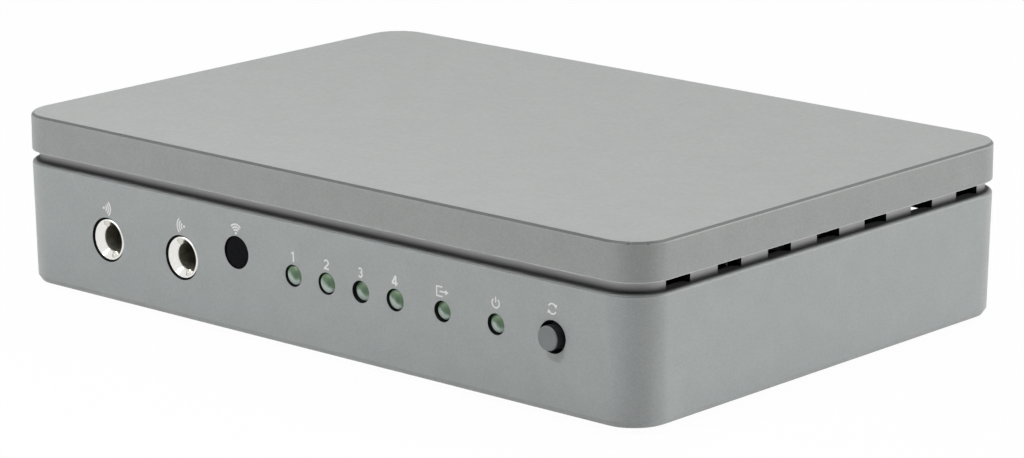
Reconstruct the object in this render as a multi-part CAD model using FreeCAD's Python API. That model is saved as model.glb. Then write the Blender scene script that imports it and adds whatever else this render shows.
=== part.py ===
import FreeCAD, Part
import math
import os

from FreeCAD import Vector

# A small video switch box: a drafted plastic base and lid with a vented shadow gap between them,
# and one circuit board inside that carries every socket, light and switch.
# Millimetres. The origin is on the desk, under the middle of the case. X runs to the right,
# Y from the front to the rear, and Z up.

# Case
case_width = 115.0
case_depth = 78.7
base_height = 17.2
lid_height = 5.3
corner_radius = 5.7
draft_angle = 1.8
wall = 2.2
floor_thickness = 2.0
lid_thickness = 2.0
bottom_edge_bevel = 0.5
top_edge_bevel = 0.35

# Shadow gap between the base and the lid, and its vents
gap_height = 1.5
rim_setback = 1.0
vent_count = 7
vent_pitch = 10.25
vent_width = 4.8

# Ribs inside the lid that locate it in the base
rib_thickness = 1.4
rib_length = 4.0
rib_reach = 2.0
rib_clearance = 0.2
rib_spacing = 30.0

# Case screws, which also clamp the board between the base's posts and the lid's bosses
screw_side_inset = 9.0
screw_end_inset = 21.35
screw_diameter = 2.9
screw_length = 12.0
screw_head_diameter = 5.4
screw_head_height = 1.6
screw_recess_depth = 2.4
screw_recess_clearance = 0.3
screw_clearance = 0.2
pilot_clearance = 0.05
post_wall = 0.9
boss_wall = 1.5

# Rubber feet
foot_diameter = 9.0
foot_height = 1.0
foot_side_inset = 11.5
foot_end_inset = 9.35

# Circuit board
board_thickness = 1.6
board_stand = 1.85
board_side_gap = 1.0
board_end_gap = 0.7
board_corner_radius = 2.0

# Audio-style jacks for the two remote-control leads
jack_x = {"ir_blaster": -38.9, "ir_extender": -24.2}
jack_axis_height = 3.0
jack_bore = 3.6
jack_bore_depth = 12.0
jack_body_width = 6.8
jack_body_length = 12.5
jack_body_gap = 0.3
jack_hole = 6.5
ferrule_diameter = 6.0
ferrule_setback = 0.25
ferrule_lip_bevel = 0.3
funnel_diameter = 4.8
funnel_depth = 0.7
jack_contact_width = 1.2
jack_contact_thickness = 0.3
jack_contact_gap = 0.08
jack_contact_wall = 0.4
jack_contact_depths = (3.5, 6.5, 9.5)

# Infrared window and the receiver behind it
window_x = -13.48
window_axis_height = 5.59
window_diameter = 4.45
window_hole = 4.6
window_setback = 0.15
window_flange_size = 6.2
window_flange_thickness = 0.8
window_flange_gap = 0.12
receiver_width = 5.2
receiver_depth = 2.6
receiver_above_axis = 3.0
receiver_below_axis = 3.9
receiver_lens_radius = 1.9
receiver_lens_height = 3.6
receiver_gap = 0.4

# Indicator lights, each a round lens on bent leads
light_x = {
    "input_1": -2.75,
    "input_2": 3.43,
    "input_3": 9.65,
    "input_4": 15.84,
    "output": 24.22,
    "power": 33.5,
}
# how far each lens was soldered behind the front face
light_setback = {
    "input_1": 0.05,
    "input_2": 0.0,
    "input_3": 0.5,
    "input_4": 0.25,
    "output": 0.5,
    "power": 0.3,
}
light_axis_height = 4.23
light_hole = 3.3
lens_diameter = 2.9
lens_length = 5.3
lens_bevel = 0.45
lead_size = 0.45
lead_pitch = 2.54
lead_reach = 1.4

# Push switch that picks the input
button_x = 43.08
button_axis_height = 4.35
button_hole = 4.3
stem_diameter = 3.3
stem_proud = 1.2
stem_edge_bevel = 0.2
button_travel = 0.25
collar_diameter = 4.4
collar_thickness = 0.6
collar_clearance = 0.2
collar_rest_gap = 0.05
switch_width = 6.0
switch_depth = 3.4
switch_above_axis = 3.0
switch_wall_gap = 0.5
switch_cover_thickness = 0.25
snap_disc_gap = 0.3
snap_disc_radius = 1.9
snap_disc_thickness = 0.1
terminal_width = 0.7
terminal_length = 0.9
terminal_thickness = 0.3

# Video sockets at the rear, evenly spaced between two distances from the case's sides
socket_names = ("video_in_1", "video_in_2", "video_in_3", "video_in_4", "video_out")
first_socket_inset = 26.1
last_socket_inset = 14.5
mouth_width = 14.0
mouth_height = 4.55
mouth_floor_width = 9.6
mouth_side_height = 2.4
socket_length = 11.5
socket_stand = 1.0
socket_sheet = 0.3
socket_setback = 0.5
socket_cutout_gap = 0.35
socket_cutout_top_gap = 0.8
socket_leg_width = 1.2
socket_leg_offset = 3.2
insulator_depth = 3.4
insulator_clearance = 0.05
tongue_width = 11.0
tongue_thickness = 1.2
tongue_setback = 1.2
contact_count = 19
contact_pitch = 0.5
contact_width = 0.3
contact_thickness = 0.14
contact_tip_gap = 0.5

# Power socket at the rear
power_inset = 10.3
power_width = 9.0
power_height = 11.0
power_length = 14.2
power_flange_depth = 3.3
power_axis_height = 6.5
power_bore = 6.3
power_bore_depth = 9.6
power_setback = 0.5
power_cutout_gap = 0.25
power_pin_diameter = 2.0
power_pin_setback = 0.8
power_pin_bevel = 0.3
power_pin_root_diameter = 1.6
power_tab_thickness = 0.5
power_tab_width = 2.4
power_spring_width = 2.0
power_spring_thickness = 0.3
power_spring_slot_gap = 0.3

# Electronics on the board
chip_size = 14.0
chip_height = 1.2
chip_centre = (2.0, 6.0)
heatsink_size = 19.0
heatsink_base = 1.5
heatsink_height = 6.0
heatsink_fins = 7
heatsink_fin_thickness = 1.0
controller_size = (5.3, 7.2, 1.75)
controller_centre = (24.0, -8.0)
can_diameter = 6.3
can_height = 7.7
can_base_height = 1.2
can_base_size = 6.6
can_centres = ((-36.0, 1.0), (-28.0, 1.0))
coil_size = 7.0
coil_height = 3.6
coil_chamfer = 1.2
coil_centre = (-18.0, 2.0)
regulator_size = (6.5, 3.5, 1.6)
regulator_tab = (3.0, 1.8, 0.5)
regulator_centre = (-18.0, 11.5)
crystal_size = (11.4, 4.7, 3.4)
crystal_centre = (24.0, 4.0)
passive_size = (1.6, 0.8, 0.6)
passive_pitch = 3.0
passive_count = 9
passive_rows = (-18.0, -15.0)
passive_start_x = -6.0

# Levels and faces that follow from the sizes above
draft_slope = math.tan(math.radians(draft_angle))
base_bottom = foot_height
floor_top = base_bottom + floor_thickness
shoulder = base_bottom + base_height
lid_edge = shoulder + gap_height
case_top = lid_edge + lid_height
lid_underside = case_top - lid_thickness
board_bottom = floor_top + board_stand
board_top = board_bottom + board_thickness
screw_seat = base_bottom + screw_recess_depth
post_size = screw_head_diameter + 2 * (screw_recess_clearance + post_wall)
boss_size = screw_diameter + 2 * (pilot_clearance + boss_wall)
light_axis = board_top + light_axis_height
jack_axis = board_top + jack_axis_height
window_axis = board_top + window_axis_height
button_axis = board_top + button_axis_height
socket_floor = board_top + socket_stand + socket_sheet
power_axis = board_top + power_axis_height
power_x = power_inset - case_width / 2


def base_inset(z):
    return (shoulder - z) * draft_slope


def front_face(z):
    return base_inset(z) - case_depth / 2


def rear_face(z):
    return case_depth / 2 - base_inset(z)


def block(x, y, z):
    return Part.makeBox(
        x[1] - x[0], y[1] - y[0], z[1] - z[0], Vector(x[0], y[0], z[0])
    )


def centred(middle, size):
    return (middle - size / 2, middle + size / 2)


def upright(radius, x, y, z):
    return Part.makeCylinder(radius, z[1] - z[0], Vector(x, y, z[0]))


def rod(radius, x, y, z):
    # a cylinder that runs from front to rear
    return Part.makeCylinder(radius, y[1] - y[0], Vector(x, y[0], z), Vector(0, 1, 0))


def fused(shapes):
    whole = shapes[0].multiFuse(shapes[1:])
    return whole.removeSplitter()


def level_edges(shape, z):
    # the edges that lie flat at one level
    return [e for e in shape.Edges if all(abs(v.Z - z) < 1e-4 for v in e.Vertexes)]


def edges_at_front(shape, y):
    # the edges that lie in one plane across the case
    return [e for e in shape.Edges if all(abs(v.Y - y) < 1e-4 for v in e.Vertexes)]


def drafted_block(z, insets, radius):
    # the case's plan with rounded corners, set in by one amount at its foot and another at its head
    half_width = [case_width / 2 - inset for inset in insets]
    half_depth = [case_depth / 2 - inset for inset in insets]
    wedge = Part.makeWedge(
        -half_width[0], z[0], -half_depth[0], -half_depth[1], -half_width[1],
        half_width[0], z[1], half_depth[0], half_depth[1], half_width[1],
    )
    wedge.rotate(Vector(), Vector(1, 0, 0), 90)
    tall = [
        e for e in wedge.Edges if abs(e.Vertexes[0].Z - e.Vertexes[-1].Z) > (z[1] - z[0]) / 2
    ]
    return wedge.makeFillet(radius, tall)


def four_places(side_inset, end_inset):
    x = case_width / 2 - side_inset
    y = case_depth / 2 - end_inset
    return [(sx * x, sy * y) for sx in (-1, 1) for sy in (-1, 1)]


def socket_places():
    first = first_socket_inset - case_width / 2
    pitch = (case_width - first_socket_inset - last_socket_inset) / (len(socket_names) - 1)
    return {name: first + i * pitch for i, name in enumerate(socket_names)}


screw_places = four_places(screw_side_inset, screw_end_inset)
foot_places = four_places(foot_side_inset, foot_end_inset)
socket_x = socket_places()


def vent_places():
    return [(i - (vent_count - 1) / 2) * vent_pitch for i in range(vent_count)]


def front_hole(diameter, x, z):
    face = front_face(z)
    return rod(diameter / 2, x, (face - wall, face + 2 * wall), z)


def rear_cutout(x, z):
    face = rear_face(z[0])
    return block(x, (face - 2 * wall, face + wall), z)


def make_base():
    outside = drafted_block(
        (base_bottom, shoulder), (base_inset(base_bottom), 0), corner_radius
    )
    outside = outside.makeChamfer(bottom_edge_bevel, level_edges(outside, base_bottom))
    rim = drafted_block(
        (shoulder, lid_edge), (rim_setback, rim_setback), corner_radius - rim_setback
    )
    cavity = drafted_block(
        (floor_top, lid_edge),
        (wall + base_inset(floor_top), wall + base_inset(lid_edge)),
        corner_radius - wall,
    )
    shell = outside.fuse(rim).cut(cavity)
    posts = [
        block(centred(x, post_size), centred(y, post_size), (floor_top, board_bottom))
        for x, y in screw_places
    ]
    shell = fused([shell] + posts)
    return shell.cut(Part.makeCompound(base_openings()))


def base_openings():
    cuts = []
    side = case_width / 2
    for sign in (-1, 1):
        limits = sorted((sign * (side - 2 * wall), sign * side))
        for y in vent_places():
            cuts.append(block(limits, centred(y, vent_width), (shoulder, lid_edge)))
    for x, y in screw_places:
        recess = screw_head_diameter / 2 + screw_recess_clearance
        cuts.append(upright(recess, x, y, (base_bottom, screw_seat)))
        passage = (screw_diameter + screw_clearance) / 2
        cuts.append(upright(passage, x, y, (screw_seat, board_bottom)))
    cuts += [front_hole(jack_hole, x, jack_axis) for x in jack_x.values()]
    cuts += [front_hole(light_hole, x, light_axis) for x in light_x.values()]
    cuts.append(front_hole(window_hole, window_x, window_axis))
    cuts.append(front_hole(button_hole, button_x, button_axis))
    across = mouth_width + 2 * (socket_sheet + socket_cutout_gap)
    low = socket_floor - socket_sheet - socket_cutout_gap
    high = socket_floor + mouth_height + socket_sheet + socket_cutout_top_gap
    cuts += [rear_cutout(centred(x, across), (low, high)) for x in socket_x.values()]
    across = power_width + 2 * power_cutout_gap
    low = board_top - power_cutout_gap
    high = board_top + power_height + power_cutout_gap
    cuts.append(rear_cutout(centred(power_x, across), (low, high)))
    return cuts


def make_lid():
    lean = (case_top - lid_edge) * draft_slope
    outside = drafted_block((lid_edge, case_top), (0, lean), corner_radius)
    outside = outside.makeChamfer(top_edge_bevel, level_edges(outside, case_top))
    inner_lean = (lid_underside - lid_edge) * draft_slope
    cavity = drafted_block(
        (lid_edge, lid_underside), (wall, wall + inner_lean), corner_radius - wall
    )
    shell = outside.cut(cavity)
    bosses = [
        block(centred(x, boss_size), centred(y, boss_size), (board_top, lid_underside))
        for x, y in screw_places
    ]
    shell = fused([shell] + bosses + lid_ribs())
    tip = screw_seat + screw_length + pilot_clearance
    radius = screw_diameter / 2 + pilot_clearance
    pilots = [upright(radius, x, y, (board_top, tip)) for x, y in screw_places]
    return shell.cut(Part.makeCompound(pilots))


def lid_ribs():
    # each rib hangs from the lid and reaches down inside the base's rim
    ribs = []
    lap = wall / 2
    inner = wall + rib_clearance
    for sign in (-1, 1):
        for offset in (-1.5, 1.5):
            edge = case_width / 2
            low = sorted((sign * (edge - inner), sign * (edge - inner - rib_thickness)))
            high = sorted((sign * (edge - lap), sign * (edge - inner - rib_thickness)))
            along = centred(offset * vent_pitch, rib_length)
            ribs.append(block(low, along, (shoulder - rib_reach, lid_edge)))
            ribs.append(block(high, along, (lid_edge, lid_underside)))
        for offset in (-1, 0, 1):
            edge = case_depth / 2
            low = sorted((sign * (edge - inner), sign * (edge - inner - rib_thickness)))
            high = sorted((sign * (edge - lap), sign * (edge - inner - rib_thickness)))
            along = centred(offset * rib_spacing, rib_length)
            ribs.append(block(along, low, (shoulder - rib_reach, lid_edge)))
            ribs.append(block(along, high, (lid_edge, lid_underside)))
    return ribs


def make_case_screw(x, y):
    # a self-tapping screw driven from below
    low = screw_seat - screw_head_height
    head = upright(screw_head_diameter / 2, x, y, (low, screw_seat))
    shank = upright(screw_diameter / 2, x, y, (screw_seat, screw_seat + screw_length))
    return fused([head, shank])


def make_feet():
    return Part.makeCompound(
        [upright(foot_diameter / 2, x, y, (0, foot_height)) for x, y in foot_places]
    )


def make_board():
    half_width = case_width / 2 - base_inset(board_bottom) - wall - board_side_gap
    half_depth = case_depth / 2 - base_inset(board_bottom) - wall - board_end_gap
    board = block(
        (-half_width, half_width), (-half_depth, half_depth), (board_bottom, board_top)
    )
    upright_edges = [e for e in board.Edges if abs(e.Vertexes[0].Z - e.Vertexes[1].Z) > 0.1]
    board = board.makeFillet(board_corner_radius, upright_edges)
    level = (board_bottom, board_top)
    hole = (screw_diameter + screw_clearance) / 2
    cuts = [upright(hole, x, y, level) for x, y in screw_places]
    return board.cut(Part.makeCompound(cuts))


def jack_body_front():
    return front_face(jack_axis) + wall + jack_body_gap


def make_jack_ferrule(x):
    front = front_face(jack_axis) + ferrule_setback
    seat = jack_body_front()
    barrel = rod(ferrule_diameter / 2, x, (front, seat), jack_axis)
    barrel = barrel.makeChamfer(ferrule_lip_bevel, edges_at_front(barrel, front))
    funnel = Part.makeCone(
        funnel_diameter / 2, jack_bore / 2, funnel_depth,
        Vector(x, front, jack_axis), Vector(0, 1, 0),
    )
    bore = rod(jack_bore / 2, x, (front, seat), jack_axis)
    return barrel.cut(bore.fuse(funnel))


def jack_contacts(x, clearance):
    # leaf springs beside the bore, two on its right and one on its left; with a clearance, their slots
    contacts = []
    front = jack_body_front()
    near = jack_bore / 2 + jack_contact_gap
    leaf = jack_bore / 2 + jack_contact_wall
    for index, depth in enumerate(jack_contact_depths):
        sign = -1 if index == 1 else 1
        y = front + depth
        half = jack_contact_width / 2 + clearance
        thick = sorted(
            (sign * (leaf - clearance), sign * (leaf + jack_contact_thickness + clearance))
        )
        nib = sorted((sign * (near - clearance * 2), sign * (leaf + clearance)))
        strip = block(
            [x + t for t in thick], (y - half, y + half),
            (board_top, jack_axis + half),
        )
        point = block(
            [x + t for t in nib], (y - half / 2, y + half / 2),
            (jack_axis - half / 2, jack_axis + half / 2),
        )
        contacts.append(strip.fuse(point))
    return contacts


def make_jack_contacts(x):
    return Part.makeCompound(jack_contacts(x, 0))


def make_jack_body(x):
    front = jack_body_front()
    body = block(
        centred(x, jack_body_width), (front, front + jack_body_length),
        (board_top, jack_axis + jack_axis_height),
    )
    bore = rod(jack_bore / 2, x, (front, front + jack_bore_depth), jack_axis)
    slots = jack_contacts(x, jack_contact_gap)
    return body.cut(Part.makeCompound([bore] + slots))


def window_flange_face():
    return front_face(window_axis) + wall + window_flange_gap


def make_window():
    front = front_face(window_axis) + window_setback
    flange = window_flange_face()
    disc = rod(window_diameter / 2, window_x, (front, flange), window_axis)
    plate = block(
        centred(window_x, window_flange_size), (flange, flange + window_flange_thickness),
        centred(window_axis, window_flange_size),
    )
    return fused([disc, plate])


def receiver_front():
    flange_back = window_flange_face() + window_flange_thickness
    return flange_back + receiver_gap + receiver_lens_radius


def make_receiver():
    front = receiver_front()
    body = block(
        centred(window_x, receiver_width), (front, front + receiver_depth),
        (window_axis - receiver_below_axis, window_axis + receiver_above_axis),
    )
    lens = upright(
        receiver_lens_radius, window_x, front, centred(window_axis, receiver_lens_height)
    )
    return fused([body, lens])


def make_receiver_leads():
    middle = receiver_front() + receiver_depth / 2
    bottom = window_axis - receiver_below_axis
    leads = [
        block(
            centred(window_x + i * lead_pitch / 1.25, lead_size), centred(middle, lead_size),
            (board_top, bottom),
        )
        for i in (-1, 0, 1)
    ]
    return Part.makeCompound(leads)


def light_tip(name):
    return front_face(light_axis) + light_setback[name]


def make_light_leads(name):
    # two leads that run back from the lens and down to the board
    back = light_tip(name) + lens_length
    half = lead_size / 2
    leads = []
    for sign in (-1, 1):
        across = centred(light_x[name] + sign * lead_pitch / 2, lead_size)
        run = block(across, (back, back + lead_reach), (light_axis - half, light_axis + half))
        leg = block(
            across, (back + lead_reach - lead_size, back + lead_reach),
            (board_top, light_axis + half),
        )
        leads.append(fused([run, leg]))
    return Part.makeCompound(leads)


def make_lens(name):
    tip = light_tip(name)
    barrel = rod(lens_diameter / 2, light_x[name], (tip, tip + lens_length), light_axis)
    return barrel.makeChamfer(lens_bevel, edges_at_front(barrel, tip))


def switch_front():
    return front_face(button_axis) + wall + switch_wall_gap


def cavity_depth():
    return (
        collar_rest_gap + collar_thickness + button_travel + collar_rest_gap
        + snap_disc_gap + snap_disc_thickness
    )


def make_switch_housing():
    front = switch_front() + switch_cover_thickness
    body = block(
        centred(button_x, switch_width), (front, front + switch_depth),
        (board_top, button_axis + switch_above_axis),
    )
    cavity = rod(
        collar_diameter / 2 + collar_clearance, button_x,
        (front, front + cavity_depth()), button_axis,
    )
    return body.cut(cavity)


def make_switch_cover():
    # a folded sheet over the housing's front, top and sides, with a hole for the stem
    sheet = switch_cover_thickness
    front = switch_front()
    top = button_axis + switch_above_axis
    outside = block(
        centred(button_x, switch_width + 2 * sheet), (front, front + sheet + switch_depth),
        (board_top, top + sheet),
    )
    inside = block(
        centred(button_x, switch_width), (front + sheet, front + sheet + switch_depth),
        (board_top, top),
    )
    hole = rod(
        stem_diameter / 2 + collar_clearance, button_x, (front, front + sheet), button_axis
    )
    return outside.cut(inside).cut(hole)


def make_switch_contacts():
    # two terminals on the board, and the snap disc at the bottom of the housing's cavity
    front = switch_front() + switch_cover_thickness
    back = front + switch_depth
    terminals = [
        block(
            centred(button_x + sx * (switch_width / 2 - terminal_width), terminal_width),
            (back, back + terminal_length), (board_top, board_top + terminal_thickness),
        )
        for sx in (-1, 1)
    ]
    floor = front + cavity_depth()
    disc = rod(snap_disc_radius, button_x, (floor - snap_disc_thickness, floor), button_axis)
    return Part.makeCompound(terminals + [disc])


def make_button():
    cover_back = switch_front() + switch_cover_thickness
    collar_front = cover_back + collar_rest_gap
    tip = front_face(button_axis) - stem_proud
    stem = rod(stem_diameter / 2, button_x, (tip, collar_front + collar_thickness), button_axis)
    stem = stem.makeChamfer(stem_edge_bevel, edges_at_front(stem, tip))
    collar = rod(
        collar_diameter / 2, button_x,
        (collar_front, collar_front + collar_thickness), button_axis,
    )
    return fused([stem, collar])


def mouth_outline(x, y, grow):
    # a wide flat top over sides that slope in to a narrower floor
    low = socket_floor - grow
    high = socket_floor + mouth_height + grow
    shoulder_z = high - mouth_side_height - grow
    half = mouth_width / 2 + grow
    floor_half = mouth_floor_width / 2 + grow / 2
    corners = [
        (-floor_half, low), (floor_half, low), (half, shoulder_z),
        (half, high), (-half, high), (-half, shoulder_z),
    ]
    points = [Vector(x + cx, y, cz) for cx, cz in corners]
    return Part.Face(Part.makePolygon(points + points[:1]))


def socket_mouth():
    return rear_face(board_top + socket_stand) - socket_setback


def make_socket_shell(x):
    mouth = socket_mouth()
    back = mouth - socket_length
    outside = mouth_outline(x, back, socket_sheet).extrude(Vector(0, socket_length, 0))
    inside = mouth_outline(x, back, 0).extrude(Vector(0, socket_length, 0))
    pieces = [outside]
    for sign in (-1, 1):
        side = sorted((sign * mouth_width / 2, sign * (mouth_width / 2 + socket_sheet)))
        for offset in (-1, 1):
            y = back + socket_length / 2 + offset * socket_leg_offset
            pieces.append(
                block(
                    [x + s for s in side], centred(y, socket_leg_width),
                    (board_top, socket_floor + mouth_height - mouth_side_height / 2),
                )
            )
    return fused(pieces).cut(inside)


def tongue_levels():
    middle = socket_floor + mouth_height / 2
    return centred(middle, tongue_thickness)


def make_insulator(x):
    back = socket_mouth() - socket_length
    plug = mouth_outline(x, back, -insulator_clearance)
    plug = plug.extrude(Vector(0, insulator_depth, 0))
    tongue = block(
        centred(x, tongue_width), (back, socket_mouth() - tongue_setback), tongue_levels()
    )
    return fused([plug, tongue])


def make_socket_contacts(x):
    # blades that lie by turns on the tongue's top and underside
    rear = socket_mouth() - socket_length + insulator_depth
    front = socket_mouth() - tongue_setback - contact_tip_gap
    low, high = tongue_levels()
    blades = []
    for index in range(contact_count):
        across = centred(
            x + (index - (contact_count - 1) / 2) * contact_pitch, contact_width
        )
        face = (low - contact_thickness, low) if index % 2 else (high, high + contact_thickness)
        blades.append(block(across, (rear, front), face))
    return Part.makeCompound(blades)


def power_face():
    return rear_face(power_axis) - power_setback


def make_power_housing():
    face = power_face()
    back = face - power_length
    half = power_width / 2
    flange = block(
        centred(power_x, power_width), (face - power_flange_depth, face),
        (board_top, board_top + power_height),
    )
    lower = block(centred(power_x, power_width), (back, face), (board_top, power_axis))
    crown = rod(half, power_x, (back, face), power_axis)
    body = fused([flange, lower, crown])
    bore = rod(power_bore / 2, power_x, (face - power_bore_depth, face), power_axis)
    pin = rod(power_pin_root_diameter / 2, power_x, (back, face), power_axis)
    slot_half = power_spring_width / 2 + power_spring_slot_gap
    slot = block(
        (power_x - slot_half, power_x + slot_half), (face - power_bore_depth, face),
        (power_axis - power_bore / 2 - 2 * power_spring_thickness, power_axis),
    )
    tail = block(
        centred(power_x, power_spring_width),
        (face - power_bore_depth, face - power_bore_depth + power_spring_thickness),
        (board_top, power_axis),
    )
    return body.cut(Part.makeCompound([bore.fuse(slot).fuse(tail), pin]))


def make_power_pin():
    # the centre pin, headed over the tab that carries it down to the board
    face = power_face()
    back = face - power_length
    radius = power_pin_diameter / 2
    end = face - power_pin_setback
    inner = face - power_bore_depth
    pin = rod(radius, power_x, (inner, end), power_axis)
    pin = pin.makeChamfer(power_pin_bevel, edges_at_front(pin, end))
    root = rod(power_pin_root_diameter / 2, power_x, (back, inner), power_axis)
    tab = block(
        centred(power_x, power_tab_width), (back - power_tab_thickness, back),
        (board_top, power_axis + power_tab_width / 2),
    )
    return fused([pin, root, tab])


def make_power_spring():
    # a strip in the floor of the bore, bent down to the board at its inner end
    face = power_face()
    inner = face - power_bore_depth
    level = power_axis - power_bore / 2
    across = centred(power_x, power_spring_width)
    strip = block(
        across, (inner, face - power_pin_setback),
        (level - 2 * power_spring_thickness, level - power_spring_thickness),
    )
    tail = block(
        across, (inner, inner + power_spring_thickness),
        (board_top, level - power_spring_thickness),
    )
    return fused([strip, tail])


def on_board(centre, size):
    return block(
        centred(centre[0], size[0]), centred(centre[1], size[1]),
        (board_top, board_top + size[2]),
    )


def make_chip():
    return on_board(chip_centre, (chip_size, chip_size, chip_height))


def make_heatsink():
    x, y = chip_centre
    bottom = board_top + chip_height
    plate = block(
        centred(x, heatsink_size), centred(y, heatsink_size), (bottom, bottom + heatsink_base)
    )
    step = (heatsink_size - heatsink_fin_thickness) / (heatsink_fins - 1)
    first = x - heatsink_size / 2 + heatsink_fin_thickness / 2
    fins = [
        block(
            centred(first + i * step, heatsink_fin_thickness), centred(y, heatsink_size),
            (bottom, bottom + heatsink_height),
        )
        for i in range(heatsink_fins)
    ]
    return fused([plate] + fins)


def make_capacitors():
    cans = []
    for x, y in can_centres:
        base = on_board((x, y), (can_base_size, can_base_size, can_base_height))
        can = upright(can_diameter / 2, x, y, (board_top, board_top + can_height))
        cans.append(fused([base, can]))
    return Part.makeCompound(cans)


def make_coil():
    coil = on_board(coil_centre, (coil_size, coil_size, coil_height))
    corners = [e for e in coil.Edges if abs(e.Vertexes[0].Z - e.Vertexes[1].Z) > 0.1]
    return coil.makeChamfer(coil_chamfer, corners)


def make_regulator():
    x, y = regulator_centre
    body = on_board(regulator_centre, regulator_size)
    tab = on_board((x, y + (regulator_size[1] + regulator_tab[1]) / 2), regulator_tab)
    return fused([body, tab])


def make_crystal():
    can = on_board(crystal_centre, crystal_size)
    corners = [e for e in can.Edges if abs(e.Vertexes[0].Z - e.Vertexes[1].Z) > 0.1]
    return can.makeChamfer(crystal_size[1] / 3, corners)


def make_passives():
    return Part.makeCompound(
        [
            on_board((passive_start_x + i * passive_pitch, y), passive_size)
            for y in passive_rows
            for i in range(passive_count)
        ]
    )


def build():
    parts = {
        "base_shell": make_base(),
        "lid_shell": make_lid(),
        "case_screws": Part.makeCompound([make_case_screw(x, y) for x, y in screw_places]),
        "rubber_feet": make_feet(),
        "main_board": make_board(),
        "ir_window": make_window(),
        "ir_receiver": make_receiver(),
        "ir_receiver_leads": make_receiver_leads(),
        "select_button": make_button(),
        "select_switch_housing": make_switch_housing(),
        "select_switch_cover": make_switch_cover(),
        "select_switch_contacts": make_switch_contacts(),
        "dc_jack_housing": make_power_housing(),
        "dc_jack_pin": make_power_pin(),
        "dc_jack_spring": make_power_spring(),
        "switch_chip": make_chip(),
        "chip_heatsink": make_heatsink(),
        "controller_chip": on_board(controller_centre, controller_size),
        "capacitors": make_capacitors(),
        "power_coil": make_coil(),
        "regulator": make_regulator(),
        "crystal": make_crystal(),
        "small_passives": make_passives(),
    }
    for name, x in jack_x.items():
        parts[name + "_jack_body"] = make_jack_body(x)
        parts[name + "_jack_ferrule"] = make_jack_ferrule(x)
        parts[name + "_jack_contacts"] = make_jack_contacts(x)
    for name in light_x:
        parts["led_" + name + "_lens"] = make_lens(name)
        parts["led_" + name + "_leads"] = make_light_leads(name)
    for name, x in socket_x.items():
        parts[name + "_shell"] = make_socket_shell(x)
        parts[name + "_insulator"] = make_insulator(x)
        parts[name + "_contacts"] = make_socket_contacts(x)
    return parts


os.makedirs("parts", exist_ok=True)
for name, shape in build().items():
    assert shape.isValid(), name
    shape.exportStep("parts/" + name + ".step")
    print(name, len(shape.Solids), round(shape.Volume, 3))
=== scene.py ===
import math

import bmesh
import bpy
from mathutils import Matrix, Vector
from mathutils.bvhtree import BVHTree


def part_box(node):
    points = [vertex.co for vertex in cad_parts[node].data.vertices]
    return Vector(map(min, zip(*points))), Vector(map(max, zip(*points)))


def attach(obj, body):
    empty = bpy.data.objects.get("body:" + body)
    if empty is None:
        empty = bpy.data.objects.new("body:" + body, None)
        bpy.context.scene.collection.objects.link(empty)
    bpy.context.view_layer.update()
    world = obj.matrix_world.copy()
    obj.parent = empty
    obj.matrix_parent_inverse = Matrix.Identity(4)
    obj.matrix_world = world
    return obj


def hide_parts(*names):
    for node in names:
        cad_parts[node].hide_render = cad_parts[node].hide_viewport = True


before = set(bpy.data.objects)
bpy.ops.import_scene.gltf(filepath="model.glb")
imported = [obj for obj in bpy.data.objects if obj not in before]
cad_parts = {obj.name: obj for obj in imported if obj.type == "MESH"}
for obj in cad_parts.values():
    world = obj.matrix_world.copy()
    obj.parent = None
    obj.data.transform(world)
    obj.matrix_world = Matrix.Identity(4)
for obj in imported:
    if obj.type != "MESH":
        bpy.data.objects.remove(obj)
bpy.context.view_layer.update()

mm = 0.001
print("frame loaded with", len(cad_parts), "pieces")

# the camera, floor and lamps come first
viewPlace = {
    "azimuth": 41.701,       # degrees from the front towards the right side
    "pitch": 14.326,         # degrees downwards
    "roll": -0.073,
    "location": (0.37391, -0.41819, 0.15332),
    "lens": 145.72, "sensor": 36.0, "near": 0.01, "far": 20.0,
}


def linked(name, data):
    thing = bpy.data.objects.new(name, data)
    bpy.context.scene.collection.objects.link(thing)
    return thing


def setCamera(values):
    a, e, r = (math.radians(values[key]) for key in ("azimuth", "pitch", "roll"))
    back = Vector((math.sin(a) * math.cos(e), -math.cos(a) * math.cos(e), math.sin(e)))
    right = Vector((math.cos(a), math.sin(a), 0))
    up = back.cross(right)
    turnedRight = right * math.cos(r) + up * math.sin(r)
    turnedUp = -right * math.sin(r) + up * math.cos(r)
    data = bpy.data.cameras.new("boxCamera")
    data.lens, data.sensor_width = values["lens"], values["sensor"]
    data.clip_start, data.clip_end = values["near"], values["far"]
    camera = linked("boxCamera", data)
    turn = Matrix((turnedRight, turnedUp, back)).transposed().to_4x4()
    camera.matrix_world = Matrix.Translation(values["location"]) @ turn
    bpy.context.scene.camera = camera


# small helpers for node trees
def feed(tree, node, inputs):
    for key, value in inputs.items():
        if isinstance(value, bpy.types.NodeSocket):
            tree.links.new(value, node.inputs[key])
        else:
            node.inputs[key].default_value = value


def addNode(tree, kind, inputs=None, **settings):
    node = tree.nodes.new(kind)
    for key, value in settings.items():
        setattr(node, key, value)
    feed(tree, node, inputs or {})
    return node


def startMaterial(name):
    material = bpy.data.materials.new(name)
    material.use_nodes = True
    tree = material.node_tree
    tree.nodes.clear()
    shader = addNode(tree, "ShaderNodeBsdfPrincipled")
    addNode(tree, "ShaderNodeOutputMaterial", {"Surface": shader.outputs["BSDF"]})
    return material, tree, shader


def objectSpace(tree):
    return addNode(tree, "ShaderNodeTexCoord").outputs["Object"]


def noiseOn(tree, space, scale, detail=2.0, roughness=0.5):
    settings = {"Vector": space, "Scale": scale, "Detail": detail, "Roughness": roughness}
    return addNode(tree, "ShaderNodeTexNoise", settings).outputs["Fac"]


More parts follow.
